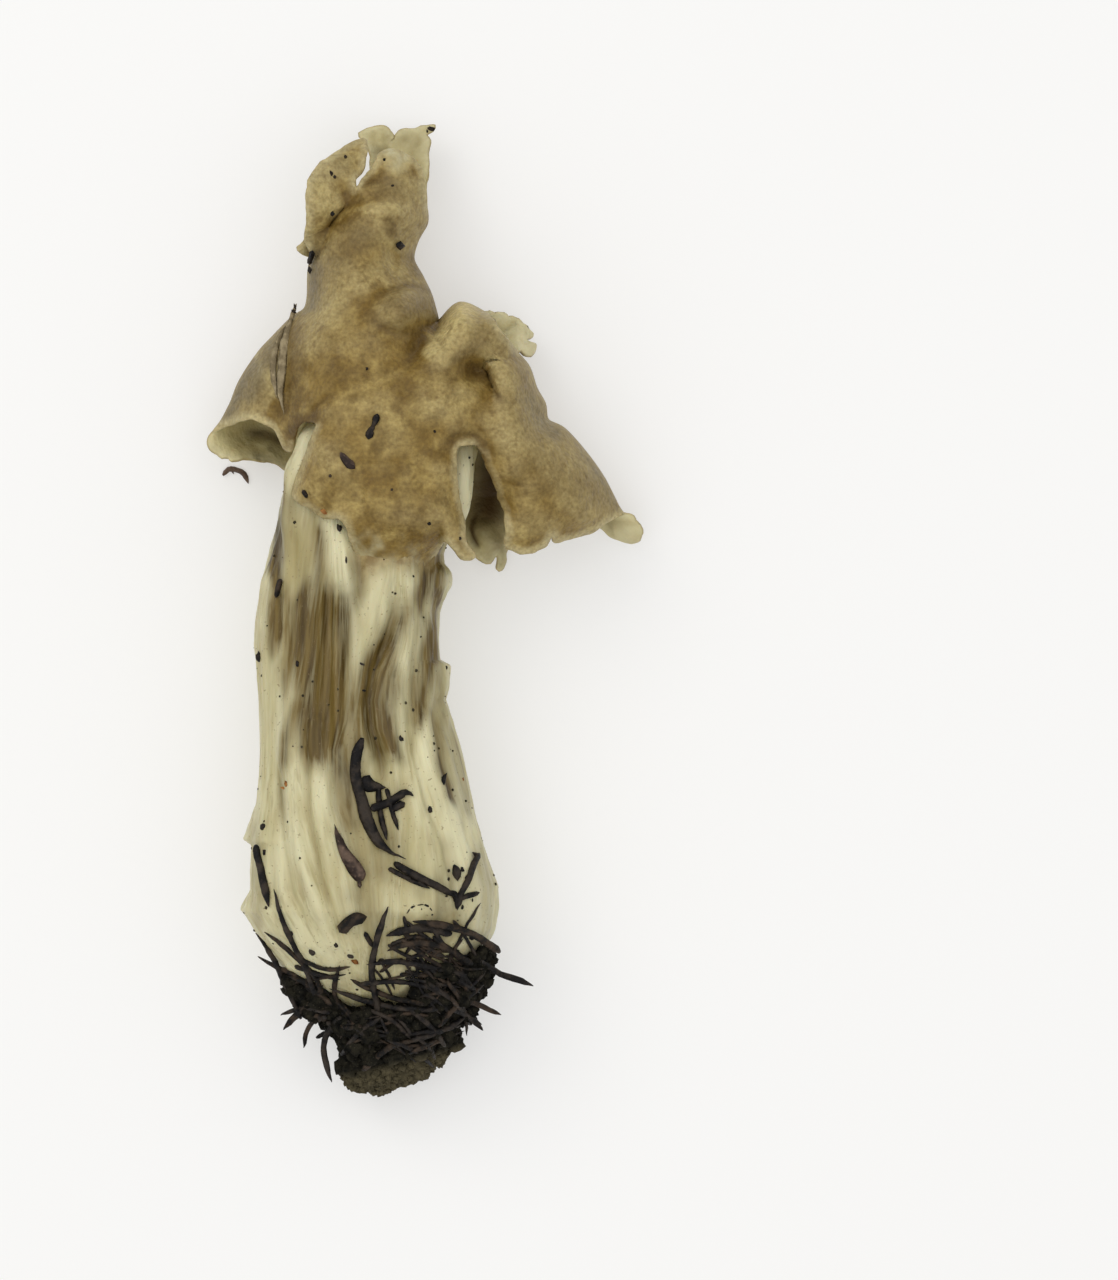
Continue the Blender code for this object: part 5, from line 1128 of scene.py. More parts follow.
def make_cap():
    """The whole cap as one closed, thin-edged sheet."""
    corners = np.vstack([front[0], back[0]])
    triangles = np.vstack([front[1], back[1][:, ::-1] + len(front[0])])
    is_back = np.repeat([0.0, 1.0], [len(front[0]), len(back[0])])
    margin = np.concatenate([front[3], back[3]])
    _, first, weld = np.unique(np.round(corners, 3), axis=0, return_index=True, return_inverse=True)
    corners, margin, is_back = corners[first], margin[first], is_back[first]
    triangles = weld.ravel()[triangles]
    alive = ((triangles[:, 0] != triangles[:, 1]) & (triangles[:, 1] != triangles[:, 2])
             & (triangles[:, 2] != triangles[:, 0]))
    triangles = triangles[alive]
    normals = corner_normals(corners, triangles)
    # How deep each point lies, for painted shade in the hollows and painted highlights on the crests; less
    # shade where the flap grows onto the stipe.
    hollow = hollows(corners, triangles, normals, 40)
    hollow *= 1.0 - 0.85 * flap_end(corners[:, 0], corners[:, 1], 14.0, 4.0) * (1.0 - is_back)
    thickness = MARGIN_THICKNESS + (CAP_THICKNESS - MARGIN_THICKNESS) * np.clip(margin / 2.2, 0.0, 1.0)
    outer = corners + normals * thickness[:, None] / 2
    inner = corners - normals * thickness[:, None] / 2
    inner[:, 2] = np.maximum(inner[:, 2], TABLE_GAP)
    outer[:, 2] = np.maximum(outer[:, 2], TABLE_GAP)
    count = len(corners)
    edges = {}
    for a, b in triangles[:, (0, 1, 1, 2, 2, 0)].reshape(-1, 2):
        edges[(a, b)] = True
    rim = [(a, b) for a, b in edges if (b, a) not in edges]
    push = np.zeros_like(corners)
    for a, b in rim:
        out = np.cross(corners[b] - corners[a], normals[a] + normals[b])
        push[a] += out
        push[b] += out
    rim_points = sorted({a for a, b in rim} | {b for a, b in rim})
    slot_of = {point: 2 * count + index for index, point in enumerate(rim_points)}
    lengths = np.linalg.norm(push[rim_points], axis=1, keepdims=True) + 1e-9
    middle = corners[rim_points] + push[rim_points] / lengths * thickness[rim_points, None] * 0.4
    middle[:, 2] = np.maximum(middle[:, 2], TABLE_GAP)
    faces = [tuple(face) for face in triangles]
    faces += [tuple(count + face[::-1]) for face in triangles]
    for a, b in rim:
        faces.append((b, a, slot_of[a], slot_of[b]))
        faces.append((slot_of[b], slot_of[a], count + a, count + b))
    flat = corners[:, :2]
    front_side = 1.0 - is_back
    # Real paler and darker patches, with painted highlights and painted shade.
    tone_light_and_shade = (felt(flat, PALE_AND_HIGHLIGHT) - felt(flat, DARK_AND_SHADE)) * front_side
    # Grey painted shade on the folds, weaker where the sheet stands steep.
    facing = np.clip(normals[:, 2] * 2.5, 0.0, 1.0)
    grey = felt(flat, GREY_SHADE) * front_side * facing
    solid = np.column_stack([flat, flat[:, 0] * 0])
    ragged = flat[:, 1] + 0.3 * (flat[:, 0] + 4.0) + lumps(solid, 1.6, 25) * 2.0 + lumps(solid, 0.7, 27)
    cream = 0.6 * flap_end(flat[:, 0], ragged, 10.8, 5.5) * front_side
    cream = np.maximum(cream, felt(flat, TOP_BUMP) * front_side)
    values = {"tone_light_and_shade": tone_light_and_shade, "grey": grey, "cream": cream, "hollow": hollow, "margin": margin,
              "shade": felt(flat, SHADE)}
    wide = {key: np.concatenate([item, item, item[rim_points]]) for key, item in values.items()}
    wide["hollow"][count:2 * count] *= -1
    wide["inner"] = np.concatenate([np.zeros(count), np.ones(count), np.zeros(len(rim_points))])
    piece = to_object("folded_cap", np.vstack([outer, inner, middle]), faces, **wide)
    piece.data.materials.append(cap_skin)
    return piece


cap = make_cap()
cap_tree = search_tree(cap)
print("the cap has", len(cap.data.vertices), "points,", len(cap.data.polygons), "faces")

# %% [markdown]
# ## Making the stipe
# The top of a real stipe runs up between the two layers of the cap. It could be freed there with
# a boolean cut, but a cut leaves ragged edges. Here the ribbed surface is sampled on a fine grid
# and the points that lie under a layer are held clear of it, which keeps every ring whole. The
# same grid carries the stains, the white flesh with its painted light, the depth of the relief
# for painted shade and highlights, and the dirt for the material.

# %% Stipe mesh
STIPE_COLUMNS = 350
STIPE_ROWS = 270
CAP_CLEARANCE = 0.55       # what the stipe keeps clear of a layer of the cap
MARGIN_REACH = 1.4         # how far past the back layer's margins that still counts
# How the stains are softened round the stipe: columns to the side, share
BLUR = [(-3, 0.1), (-2, 0.15), (-1, 0.15), (0, 0.2), (1, 0.15), (2, 0.15), (3, 0.1)]


def clod_rim(angle):
    """How far up the stipe the soil reaches at each angle round it: highest at the right."""
    line = np.interp(np.cos(angle), [-1.0, -0.57, -0.1, 0.17, 0.43, 0.7, 1.0],
                     [-54.0, -58.0, -60.0, -58.5, -53.5, -51.0, -49.5])
    return line + 0.7 * np.sin(5 * angle)


def stained(x, y, sin):
    """Smoky stain at places on the front of the stipe, ragged along the fibres."""
    clear = np.ones(len(x))
    jitter = lumps(np.column_stack([x, y * 0.5, x * 0]), 1.6, 31) * 0.45
    fibre = np.column_stack([guided(x, y), y * 0.05, x * 0])
    ragged = y + lumps(fibre, 0.7, 34) * 2.2 + lumps(fibre, 0.3, 35) * 1.2
    for points, half_width, strength in STAINS:
        clear *= 1.0 - strength * crest_bells(x + jitter, ragged, points, half_width, 3.4)
    streaks = 1.0 + 0.26 * lumps(fibre, 0.5, 36) + 0.16 * lumps(fibre, 0.25, 37)
    return np.clip((1.0 - clear) * streaks, 0.0, 1.0) * np.clip(sin * 3.0, 0.0, 1.0)


def make_stipe():
    """The stipe as a closed column of fine rings."""
    top_row, low_row = STIPE_LEFT[0][0], STIPE_LEFT[-1][0]
    rows = np.linspace(low_row, top_row, STIPE_ROWS)
    turns = np.linspace(0.0, 2 * math.pi, STIPE_COLUMNS, endpoint=False)
    angle = np.tile(turns, STIPE_ROWS)
    y = np.repeat(rows, STIPE_COLUMNS)
    x, z = stipe_surface(angle, y)
    flat = np.column_stack([x, y])
    high = y > 3.0
    for outline, margins, plate, sign in ((front_outline, front_margins, front_plate, 1),
                                          (back_outline, back_margins, back_plate, -1)):
        rim = [Vector((p[0], p[1])) for p in outline[::3]]
        near = np.zeros(len(flat), dtype=bool)
        near[high] = inside(flat[high], rim)
        if sign < 0:
            near[high] |= nearest_of(flat[high], [margin[::2] for margin in margins]) < MARGIN_REACH
        limit = plate(flat[near]) - sign * (CAP_THICKNESS / 2 + CAP_CLEARANCE)
        z[near] = np.minimum(z[near], limit) if sign > 0 else np.maximum(z[near], limit)
    z = np.maximum(z, 0.02)
    corners = np.column_stack([x, y, z])
    ends = [corners[:STIPE_COLUMNS].mean(axis=0), corners[-STIPE_COLUMNS:].mean(axis=0)]
    faces = [tuple(face) for face in grid_faces(STIPE_ROWS, STIPE_COLUMNS)]
    last = STIPE_ROWS * STIPE_COLUMNS
    for column in range(STIPE_COLUMNS):
        following = (column + 1) % STIPE_COLUMNS
        faces.append((column, following, last))
        top = last - STIPE_COLUMNS
        faces.append((top + following, top + column, last + 1))
    corners = np.vstack([corners, ends])
    parts = np.array([triangle for face in faces[:len(faces) - 2 * STIPE_COLUMNS]
                      for triangle in ((face[0], face[1], face[2]), (face[0], face[2], face[3]))])
    normals = corner_normals(corners, parts)
    # How deep each point lies, which the material turns into painted shade and painted highlights.
    hollow = hollows(corners, parts, normals, 40)
    sin = np.sin(angle)
    stain = stained(x, y, sin).reshape(STIPE_ROWS, STIPE_COLUMNS)
    stain = sum(np.roll(stain, shift, axis=1) * share for shift, share in BLUR).ravel()
    behind = np.clip(0.3 - sin * 2.2, 0.0, 1.0) * np.clip(hollow[:-2] * 1.2, 0.0, 0.5)
    front_side = np.clip(sin * 3, 0, 1)
    tan = (bell(np.hypot((x + 17.4) / 2.6, (y - 8) / 7), 1.0) * 0.75
           + 0.3 * np.clip((-16 - y) / 14, 0, 1) * bell(x + 7, 8.5))
    lower_tan = 0.55 * bell(np.hypot((x + 18.4) / 2.2, (y + 4.5) / 4.5), 1.0)
    tan = np.maximum(tan, lower_tan) * front_side
    # White flesh, and painted light where the right flank turns away and in the slits of the cap.
    white = np.max([strength * bell(np.hypot((x - at_x) / wide, (y - at_y) / tall), 1.0)
                    for at_x, at_y, wide, tall, strength in PALE_FLESH_AND_LIGHT], axis=0) * front_side
    reach = clod_rim(angle) + 2.5
    dirt = np.clip((reach - y) / 4.0 + lumps(corners[:-2], 1.8, 32) * 0.45, 0.0, 1.0)
    dirt_spot = 0.8 * bell(np.hypot(x + 21.2, (y - 11.5) / 4.0), 1.0)
    dirt = np.maximum(dirt, dirt_spot * (sin > 0))
    brown = smooth_step((y - 3.6 - lumps(corners[:-2] * (1, 0.3, 1), 1.2, 33) * 1.3) / 5.0)
    brown *= smooth_step((x + 11.0) / 2.5) * smooth_step((2.0 - x) / 1.5) * (y < 16)
    pad = [0.0, 0.0]
    piece = to_object("ribbed_stipe", corners, faces, stain=np.append(np.maximum(stain, behind), pad),
                      tan=np.append(tan, pad), dirt=np.append(dirt, pad), brown=np.append(brown, pad),
                      flow=np.append(guided(x, y), pad), pale=np.append(white, pad), hollow=hollow)
    piece.data.materials.append(stipe_flesh)
    return piece


stipe = make_stipe()
stipe_tree = search_tree(stipe)
print("the stipe has", len(stipe.data.vertices), "points,", len(stipe.data.polygons), "faces")

# %% [markdown]
# ## The clod of soil
# Soil torn up with a mushroom is a crumbly mass with a rough skin. It could be sculpted, but no
# one needs each crumb in its true place. A solid cup gives the mass, layered noise gives the
# rough skin, and Geometry Nodes scatter a few thousand loose crumbs, because crumbs repeat
# without a pattern and a fixed seed keeps them the same in every run.

# %% Clod surface
CLOD_LEFT = [
    (-47, -25.6), (-52, -22.2), (-56, -19), (-58.5, -16.8), (-61, -14), (-64, -12.9), (-67, -13),
    (-69, -11), (-70.2, -8)]
CLOD_RIGHT = [
    (-47, 11.6), (-50, 10.4), (-54, 9.2), (-57, 7.6), (-60.5, 5.4), (-63, 5), (-66, 2.6), (-68.5, -1.5),
    (-70.2, -6)]
CLOD_TOP = [
    (-47, 27.6), (-52, 24.6), (-56, 21.6), (-60, 19), (-64, 16.6), (-68, 12.4), (-70.2, 8.6)]
CLOD_BELLY = [
    (-47, -2.2), (-50, 0.6), (-60, 0.4), (-66, 1.2), (-70.2, 6)]
CLOD_COLUMNS = 300
CLOD_ROWS = 110
CLOD_END = -70.0
SOCKET_END = -60.0         # how far the foot of the stipe reaches into the clod


def make_clod():
    """A rough crust of soil that wraps the foot of the stipe."""
    turns = np.linspace(0.0, 2 * math.pi, CLOD_COLUMNS, endpoint=False)
    share = np.linspace(0.0, 1.0, CLOD_ROWS)
    angle = np.tile(turns, CLOD_ROWS)
    ragged = lumps(np.column_stack([np.cos(turns) * 8, np.sin(turns) * 8, turns * 0]), 1.5, 41) * 1.6
    start = np.tile(clod_rim(turns) + ragged, CLOD_ROWS)
    y = start + (CLOD_END - start) * np.repeat(share, CLOD_COLUMNS)
    left, right, top, belly = (along_stipe(y, line)
                               for line in (CLOD_LEFT, CLOD_RIGHT, CLOD_TOP, CLOD_BELLY))
    cos, sin = np.cos(angle), np.sin(angle)
    x = (left + right) / 2 + (right - left) / 2 * cos
    z = (top + belly) / 2 + (top - belly) / 2 * sin
    hole_x, hole_z = stipe_surface(angle, np.maximum(y, SOCKET_END), 0.5, False)
    middle_x, middle_z = (left + right) / 2, (top + belly) / 2
    reach = np.hypot(x - middle_x, z - middle_z)
    short = (reach < np.hypot(hole_x - middle_x, hole_z - middle_z)) & (y > SOCKET_END - 0.6)
    x, z = np.where(short, hole_x, x), np.where(short, hole_z, z)
    solid = np.column_stack([x, y, z])
    rough = (lumps(solid, 3.4, 42) * 0.9 + lumps(solid, 1.5, 43) * 0.55 + lumps(solid, 0.7, 44) * 0.28
             + lumps(solid, 0.35, 45) * 0.1)
    edge = np.clip(np.repeat(share, CLOD_COLUMNS) * 9.0, 0.0, 1.0)
    rough = rough * edge - (1.0 - edge) * 0.9 - 0.9 * np.clip((-56.0 - y) / 4.0, 0.0, 1.0)
    x, z = x + cos * rough, np.maximum(z + sin * rough, 0.15)
    y = y + lumps(solid, 1.1, 46) * 0.4 * edge
    corners = np.column_stack([x, y, z])
    ends = [corners[:CLOD_COLUMNS].mean(axis=0), corners[-CLOD_COLUMNS:].mean(axis=0)]
    faces = [tuple(face[::-1]) for face in grid_faces(CLOD_ROWS, CLOD_COLUMNS)]
    last = CLOD_ROWS * CLOD_COLUMNS
    for column in range(CLOD_COLUMNS):
        following = (column + 1) % CLOD_COLUMNS
        faces.append((following, column, last))
        low = last - CLOD_COLUMNS
        faces.append((low + column, low + following, last + 1))
    piece = to_object("soil", np.vstack([corners, ends]), faces)
    piece.data.materials.append(soil_dark)
    return piece


clod = make_clod()
clod_tree = search_tree(clod)
print("the clod has", len(clod.data.polygons), "faces")


# %% Nodes that scatter one shape over a surface
def scatter_tree(name):
    """A node group that sets copies of a shape on a surface, with its numbers as inputs."""
    group = bpy.data.node_groups.new(name, "GeometryNodeTree")
    group.interface.new_socket("Geometry", in_out="INPUT", socket_type="NodeSocketGeometry")
    group.interface.new_socket("Shape", in_out="INPUT", socket_type="NodeSocketObject")
    for label, kind in (("Density", "NodeSocketFloat"), ("Seed", "NodeSocketInt"),
                        ("Smallest", "NodeSocketFloat"), ("Largest", "NodeSocketFloat"),
                        ("Lean", "NodeSocketFloat"), ("Material", "NodeSocketMaterial")):
        group.interface.new_socket(label, in_out="INPUT", socket_type=kind)
    group.interface.new_socket("Geometry", in_out="OUTPUT", socket_type="NodeSocketGeometry")
    nodes, links = group.nodes, group.links
    start, end = nodes.new("NodeGroupInput"), nodes.new("NodeGroupOutput")
    points = nodes.new("GeometryNodeDistributePointsOnFaces")
    links.new(start.outputs["Geometry"], points.inputs["Mesh"])
    links.new(start.outputs["Density"], points.inputs["Density"])
    links.new(start.outputs["Seed"], points.inputs["Seed"])
    shape = nodes.new("GeometryNodeObjectInfo")
    links.new(start.outputs["Shape"], shape.inputs["Object"])
    size = nodes.new("FunctionNodeRandomValue")
    size.data_type = "FLOAT"
    links.new(start.outputs["Smallest"], size.inputs[2])
    links.new(start.outputs["Largest"], size.inputs[3])
    links.new(start.outputs["Seed"], size.inputs["Seed"])
    spin = nodes.new("FunctionNodeRandomValue")
    spin.data_type = "FLOAT_VECTOR"
    lean = nodes.new("ShaderNodeCombineXYZ")
    lean.inputs["Z"].default_value = math.pi
    back_lean = nodes.new("ShaderNodeVectorMath")
    back_lean.operation = "SCALE"
    back_lean.inputs["Scale"].default_value = -1.0
    links.new(start.outputs["Lean"], lean.inputs["X"])
    links.new(start.outputs["Lean"], lean.inputs["Y"])
    links.new(lean.outputs["Vector"], back_lean.inputs[0])
    links.new(back_lean.outputs["Vector"], spin.inputs[0])
    links.new(lean.outputs["Vector"], spin.inputs[1])
    links.new(start.outputs["Seed"], spin.inputs["Seed"])
    turned = nodes.new("FunctionNodeRotateEuler")
    turned.space = "LOCAL"
    links.new(points.outputs["Rotation"], turned.inputs["Rotation"])
    links.new(spin.outputs[0], turned.inputs["Rotate By"])
    copies = nodes.new("GeometryNodeInstanceOnPoints")
    links.new(points.outputs["Points"], copies.inputs["Points"])
    links.new(shape.outputs["Geometry"], copies.inputs["Instance"])
    links.new(turned.outputs["Rotation"], copies.inputs["Rotation"])
    links.new(size.outputs[1], copies.inputs["Scale"])
    solid = nodes.new("GeometryNodeRealizeInstances")
    links.new(copies.outputs["Instances"], solid.inputs["Geometry"])
    paint = nodes.new("GeometryNodeSetMaterial")
    links.new(solid.outputs["Geometry"], paint.inputs["Geometry"])
    links.new(start.outputs["Material"], paint.inputs["Material"])
    links.new(paint.outputs["Geometry"], end.inputs["Geometry"])
    return group


def scatter(name, group, surface, shape, material, **numbers):
    """A plain mesh object of copies of a shape on a surface."""
    carrier = bpy.data.objects.new(name, surface.data.copy())
    scene.collection.objects.link(carrier)
    step = carrier.modifiers.new("scatter", "NODES")
    step.node_group = group
    values = {"Shape": shape, "Material": material, **numbers}
    for item in group.interface.items_tree:
        if item.in_out == "INPUT" and item.name in values:
            step[item.identifier] = values[item.name]
    graph = bpy.context.evaluated_depsgraph_get()
    made = bpy.data.meshes.new_from_object(carrier.evaluated_get(graph))
    carrier.modifiers.remove(step)
    carrier.data = made
    made.shade_smooth()
    print(name, "has", len(made.polygons), "faces")
    return carrier


def keep_copies(piece, shape, kept):
    """Drop the copies of a shape whose corners, in millimetres, fail a test."""
    size = len(shape.data.vertices)
    places = np.empty(3 * len(piece.data.vertices))
    piece.data.vertices.foreach_get("co", places)
    stay = [kept(copy) for copy in places.reshape(-1, size, 3) / MM]
    body = bmesh.new()
    body.from_mesh(piece.data)
    dropped = [vert for vert in body.verts if not stay[vert.index // size]]
    bmesh.ops.delete(body, geom=dropped, context="VERTS")
    body.to_mesh(piece.data)
    body.free()
    print(piece.name, "keeps", sum(stay), "copies")


def hidden_shape(name, corners, faces):
    """A small shape that is only there to be copied."""
    shape = to_object(name, corners, faces)
    shape.hide_render = True
    shape.hide_viewport = True
    return shape


# %% Crumbs of soil
def crumb_shape():
    """An uneven grain, about 1 mm across."""
    source = coarse_ball(5, 6)
    corners = np.array(source[0])
    corners *= (1.0 + 0.35 * lumps(corners * 3.0 + 5.0, 1.4, 51))[:, None] * 0.5
    return hidden_shape("crumb", corners, source[1])


def coarse_ball(rings, columns):
    """Corners and faces of a coarse ball of radius 1."""
    corners = [(0.0, 0.0, -1.0)]
    for ring in range(1, rings):
        tilt = math.pi * ring / rings - math.pi / 2
        for column in range(columns):
            turn = 2 * math.pi * (column + ring / 2) / columns
            wide = math.cos(tilt)
            corners.append((wide * math.cos(turn), wide * math.sin(turn), math.sin(tilt)))
    corners.append((0.0, 0.0, 1.0))
    faces = []
    for column in range(columns):
        following = (column + 1) % columns
        faces.append((0, 1 + following, 1 + column))
        for ring in range(rings - 2):
            low, high = 1 + ring * columns, 1 + (ring + 1) * columns
            faces.append((low + column, low + following, high + following, high + column))
        top = 1 + (rings - 2) * columns
        faces.append((top + column, top + following, len(corners) - 1))
    return corners, faces


def above_table(copy):
    """Whether a copy keeps clear of the table."""
    return copy[:, 2].min() > TABLE_GAP


def crust_level(copy):
    """How far up the clod a copy lies, along the slant of the paler crust."""
    return copy[:, 1].mean() - CRUST_SLOPE * copy[:, 0].mean()


scatter_group = scatter_tree("scatter_on_surface")
crumb = crumb_shape()
coarse_crumbs = scatter("coarse_crumbs", scatter_group, clod, crumb, soil_dark,
                        Density=170000.0, Seed=14, Smallest=1.2, Largest=3.0, Lean=1.5)
keep_copies(coarse_crumbs, crumb,
            lambda copy: crust_level(copy) > CRUST_START and above_table(copy))
fine_crumbs = scatter("fine_crumbs", scatter_group, clod, crumb, soil_dark,
                      Density=950000.0, Seed=3, Smallest=0.35, Largest=1.5, Lean=1.5)
crust_crumbs = scatter("crust_crumbs", scatter_group, clod, crumb, soil_crust,
                       Density=900000.0, Seed=8, Smallest=0.3, Largest=1.2, Lean=1.5)
keep_copies(crust_crumbs, crumb, lambda copy: crust_level(copy) < CRUST_CRUMBS)
dust = scatter("dust", scatter_group, stipe, crumb, soil_crust,
               Density=26000.0, Seed=21, Smallest=0.15, Largest=0.5, Lean=0.6)
keep_copies(dust, crumb, above_table)

# %% [markdown]
# ## Needles and other litter
# Dead conifer needles are flat, slightly keeled blades with a blunt foot and a sharp tip. A ring
# of eight points along a smooth line gives that shape. The needles that the picture shows were
# placed one by one, as their crossing pattern can't come from a scatter. A seeded rule lays more
# short ones across the front, where the picture shows a tangle, and the hidden sides of the
# clod get theirs from the same nodes as the crumbs.

# %% Needle shape
NEEDLE_SECTION = [(1.0, 0.0), (0.55, 0.5), (0.0, 1.0), (-0.55, 0.5), (-1.0, 0.0), (-0.6, -0.4),
                  (0.0, -0.6), (0.6, -0.4)]


def needle_rings(line, width, thickness):
    """Corners and faces of a needle along a line in space; the width may be a list along it."""
    count = len(NEEDLE_SECTION)
    corners, faces = [], []
    widths = width if isinstance(width, list) else [width, width]
    for index, centre in enumerate(line):
        along = (line[min(index + 1, len(line) - 1)] - line[max(index - 1, 0)]).normalized()
        across = along.cross(Vector((0, 0, 1))).normalized()
        up = across.cross(along)
        share = index / (len(line) - 1)
        body = min(1.0, 0.45 + share * 7.0) * min(1.0, 0.12 + (1.0 - share) * 4.0)
        reach = float(np.interp(share, np.linspace(0.0, 1.0, len(widths)), widths)) / 2 * body
        for side, rise in NEEDLE_SECTION:
            lift = up * (rise * thickness / 2 * body)
            corners.append(tuple(centre + across * (side * reach) + lift))
    for row in range(len(line) - 1):
        for column in range(count):
            following = (column + 1) % count
            faces.append((row * count + column, row * count + following,
                          (row + 1) * count + following, (row + 1) * count + column))
    faces.append(tuple(reversed(range(count))))
    faces.append(tuple((len(line) - 1) * count + column for column in range(count)))
    return corners, faces


AROUND = [(0, 0), (0.3, 0), (-0.3, 0), (0, 0.3), (0, -0.3)]      # feelers below a needle


def laid_line(points, thickness, trees, step=0.5):
    """A needle's line, resting on whatever is highest below it and bent as little as possible."""
    line = curve_through(points, step)
    share = np.linspace(0.0, 1.0, len(line))
    levels = []
    for point in line:
        tops = [top_of(trees, point.x + dx, point.y + dy) for dx, dy in AROUND]
        tops = [top for top in tops if top is not None]
        levels.append(max(tops) if tops else np.nan)
    levels = np.array(levels)
    known = ~np.isnan(levels)
    levels = np.interp(share, share[known], levels[known]) if known.any() else np.zeros(len(line))
    bend = np.polyfit(share, levels, 3)
    arc = np.polyval(bend, share)
    arc += np.percentile(levels - arc, 94) + thickness * 0.35
    return [Vector((point.x, point.y, height)) for point, height in zip(line, arc)]


def make_litter(name, strands, trees, material):
    """One object of several needles that lie on finished pieces."""
    corners, faces = [], []
    for points, width, thickness in strands:
        made, sides = needle_rings(laid_line(points, thickness, trees), width, thickness)
        faces += [tuple(len(corners) + index for index in face) for face in sides]
        corners += made
    corners = np.array(corners)
    corners += np.stack([lumps(corners, 1.1, seed) for seed in (61, 62, 63)], axis=1) * 0.09
    corners += np.stack([lumps(corners, 0.45, seed) for seed in (64, 65, 66)], axis=1) * 0.05
    corners[:, 2] = np.maximum(corners[:, 2], 0.1)
    piece = to_object(name, corners, faces)
    piece.data.materials.append(material)
    return piece


# %% Needles stuck in the clod, from root to tip: points, width
CLOD_NEEDLES = [
    ([(-15, -57), (-17, -51.5), (-18.6, -48), (-20.3, -44), (-21.4, -40)], 1),
    ([(-14.5, -57.5), (-15.5, -53), (-20, -48.3), (-22.8, -46.3)], 0.9),
    ([(-17.8, -59), (-20, -54), (-22, -49.6), (-24.2, -46.6)], 1),
    ([(-13, -57), (-18, -53), (-21.5, -51.4), (-24, -50)], 1),
    ([(-6.5, -58), (-7.4, -52), (-6.4, -46.5), (-4.9, -42.4)], 1.2),
    ([(10.9, -49.2), (6.8, -46.4), (2.4, -45), (-1.4, -44.5)], 1.3),
    ([(4, -46.4), (-0.6, -45.5), (-5.2, -46.6)], 1.5),
    ([(7, -51), (3, -48.4), (-1, -47.6), (-5.2, -48.8)], 1.2),
    ([(8, -50.5), (11, -52.4), (13.6, -53.3), (15.7, -54.2)], 1.1),
    ([(5.5, -56), (8.5, -57.2), (11, -58.4)], 1), ([(4, -57.5), (6.3, -58.6), (8.4, -60.7)], 1),
    ([(-14, -59), (-17.5, -58), (-20.3, -60.6)], 1.3),
    ([(-13.5, -58), (-17, -57.4), (-20.8, -58.5)], 0.9),
    ([(-14, -58.5), (-16.6, -60), (-17.5, -63.3)], 0.9),
    ([(-12, -58.5), (-14.5, -62.6), (-13.4, -68.2)], 1.1), ([(-9, -60), (-15, -54.5), (-20, -52.6)], 1),
    ([(2, -57.3), (-4, -57.2), (-9, -56), (-13.5, -54.4)], 1),
    ([(0, -56.5), (-5, -55.6), (-10.5, -53)], 1),
    ([(6, -52.5), (1, -51.2), (-4, -50.4), (-8, -50.8)], 1.1), ([(2, -60), (5, -56.5), (8.6, -54)], 1.1),
    ([(-2, -62), (2.5, -60.6), (6.4, -58.4)], 1), ([(-9, -66.5), (-5, -63), (-1, -61.8)], 1.1),
    ([(-12, -64.5), (-9.5, -61), (-6, -58.4)], 1), ([(-10, -59.5), (-12.8, -55.5), (-12, -51)], 0.9),
    ([(3, -63), (0.5, -59.4), (-3, -56.6)], 1)]
EXTRA_NEEDLES = [
    ([(-7.3, -48.2), (-8.3, -46)], 0.9), ([(-4.6, -47.9), (-2, -47)], 0.8),
    ([(9, -47.8), (10.9, -49)], 0.8), ([(-13.9, -59.2), (-12, -61.5), (-10, -63.2)], 0.9),
    ([(-18, -50), (-14, -51.6), (-10.4, -51.2)], 0.8), ([(-9, -53.6), (-3, -53.4), (2, -54.6)], 0.9),
    ([(2.6, -50), (5.4, -53), (6.6, -56.4)], 0.8), ([(-15.6, -61.8), (-12.6, -60.2)], 0.8)]
# Where more of them lie crossed: centre x, y, half spreads, count
NEEDLE_PATCHES = [
    (2.5, -48.5, 5, 3, 22), (3.5, -54.5, 4.5, 3.5, 22), (-7, -60, 5, 2, 12), (-16, -55, 2.6, 3, 9),
    (-3, -62, 5, 2.2, 9), (-1, -52.5, 5, 2, 8)]
on_clod = [clod_tree, stipe_tree]


def crossed_needles(chance):
    """Short curved needles at random in the patches."""
    strands = []
    for x, y, wide, tall, count in NEEDLE_PATCHES:
        for _ in range(count):
            middle = Vector((x + chance.uniform(-wide, wide), y + chance.uniform(-tall, tall)))
            turn = math.radians(chance.normal(-12.0, 38.0))
            half_length = chance.uniform(1.6, 4.6)
            along = Vector((math.cos(turn), math.sin(turn))) * half_length
            bow = Vector((-along.y, along.x)) * chance.uniform(-0.22, 0.22)
            if middle.x + abs(along.x) < 9.5 and middle.x - abs(along.x) > -19.5:
                strands.append(([tuple(middle - along), tuple(middle + bow), tuple(middle + along)],
                                chance.uniform(0.4, 0.85)))
    return strands


needle_lines = [(line, 0.8 * width, width * 0.5) for line, width
                in CLOD_NEEDLES + EXTRA_NEEDLES + crossed_needles(np.random.RandomState(12))]
clod_needles = make_litter("clod_needles", needle_lines[::2], on_clod, needle_dark)
brown_needles = make_litter("brown_needles", needle_lines[1::2], on_clod, needle_brown)

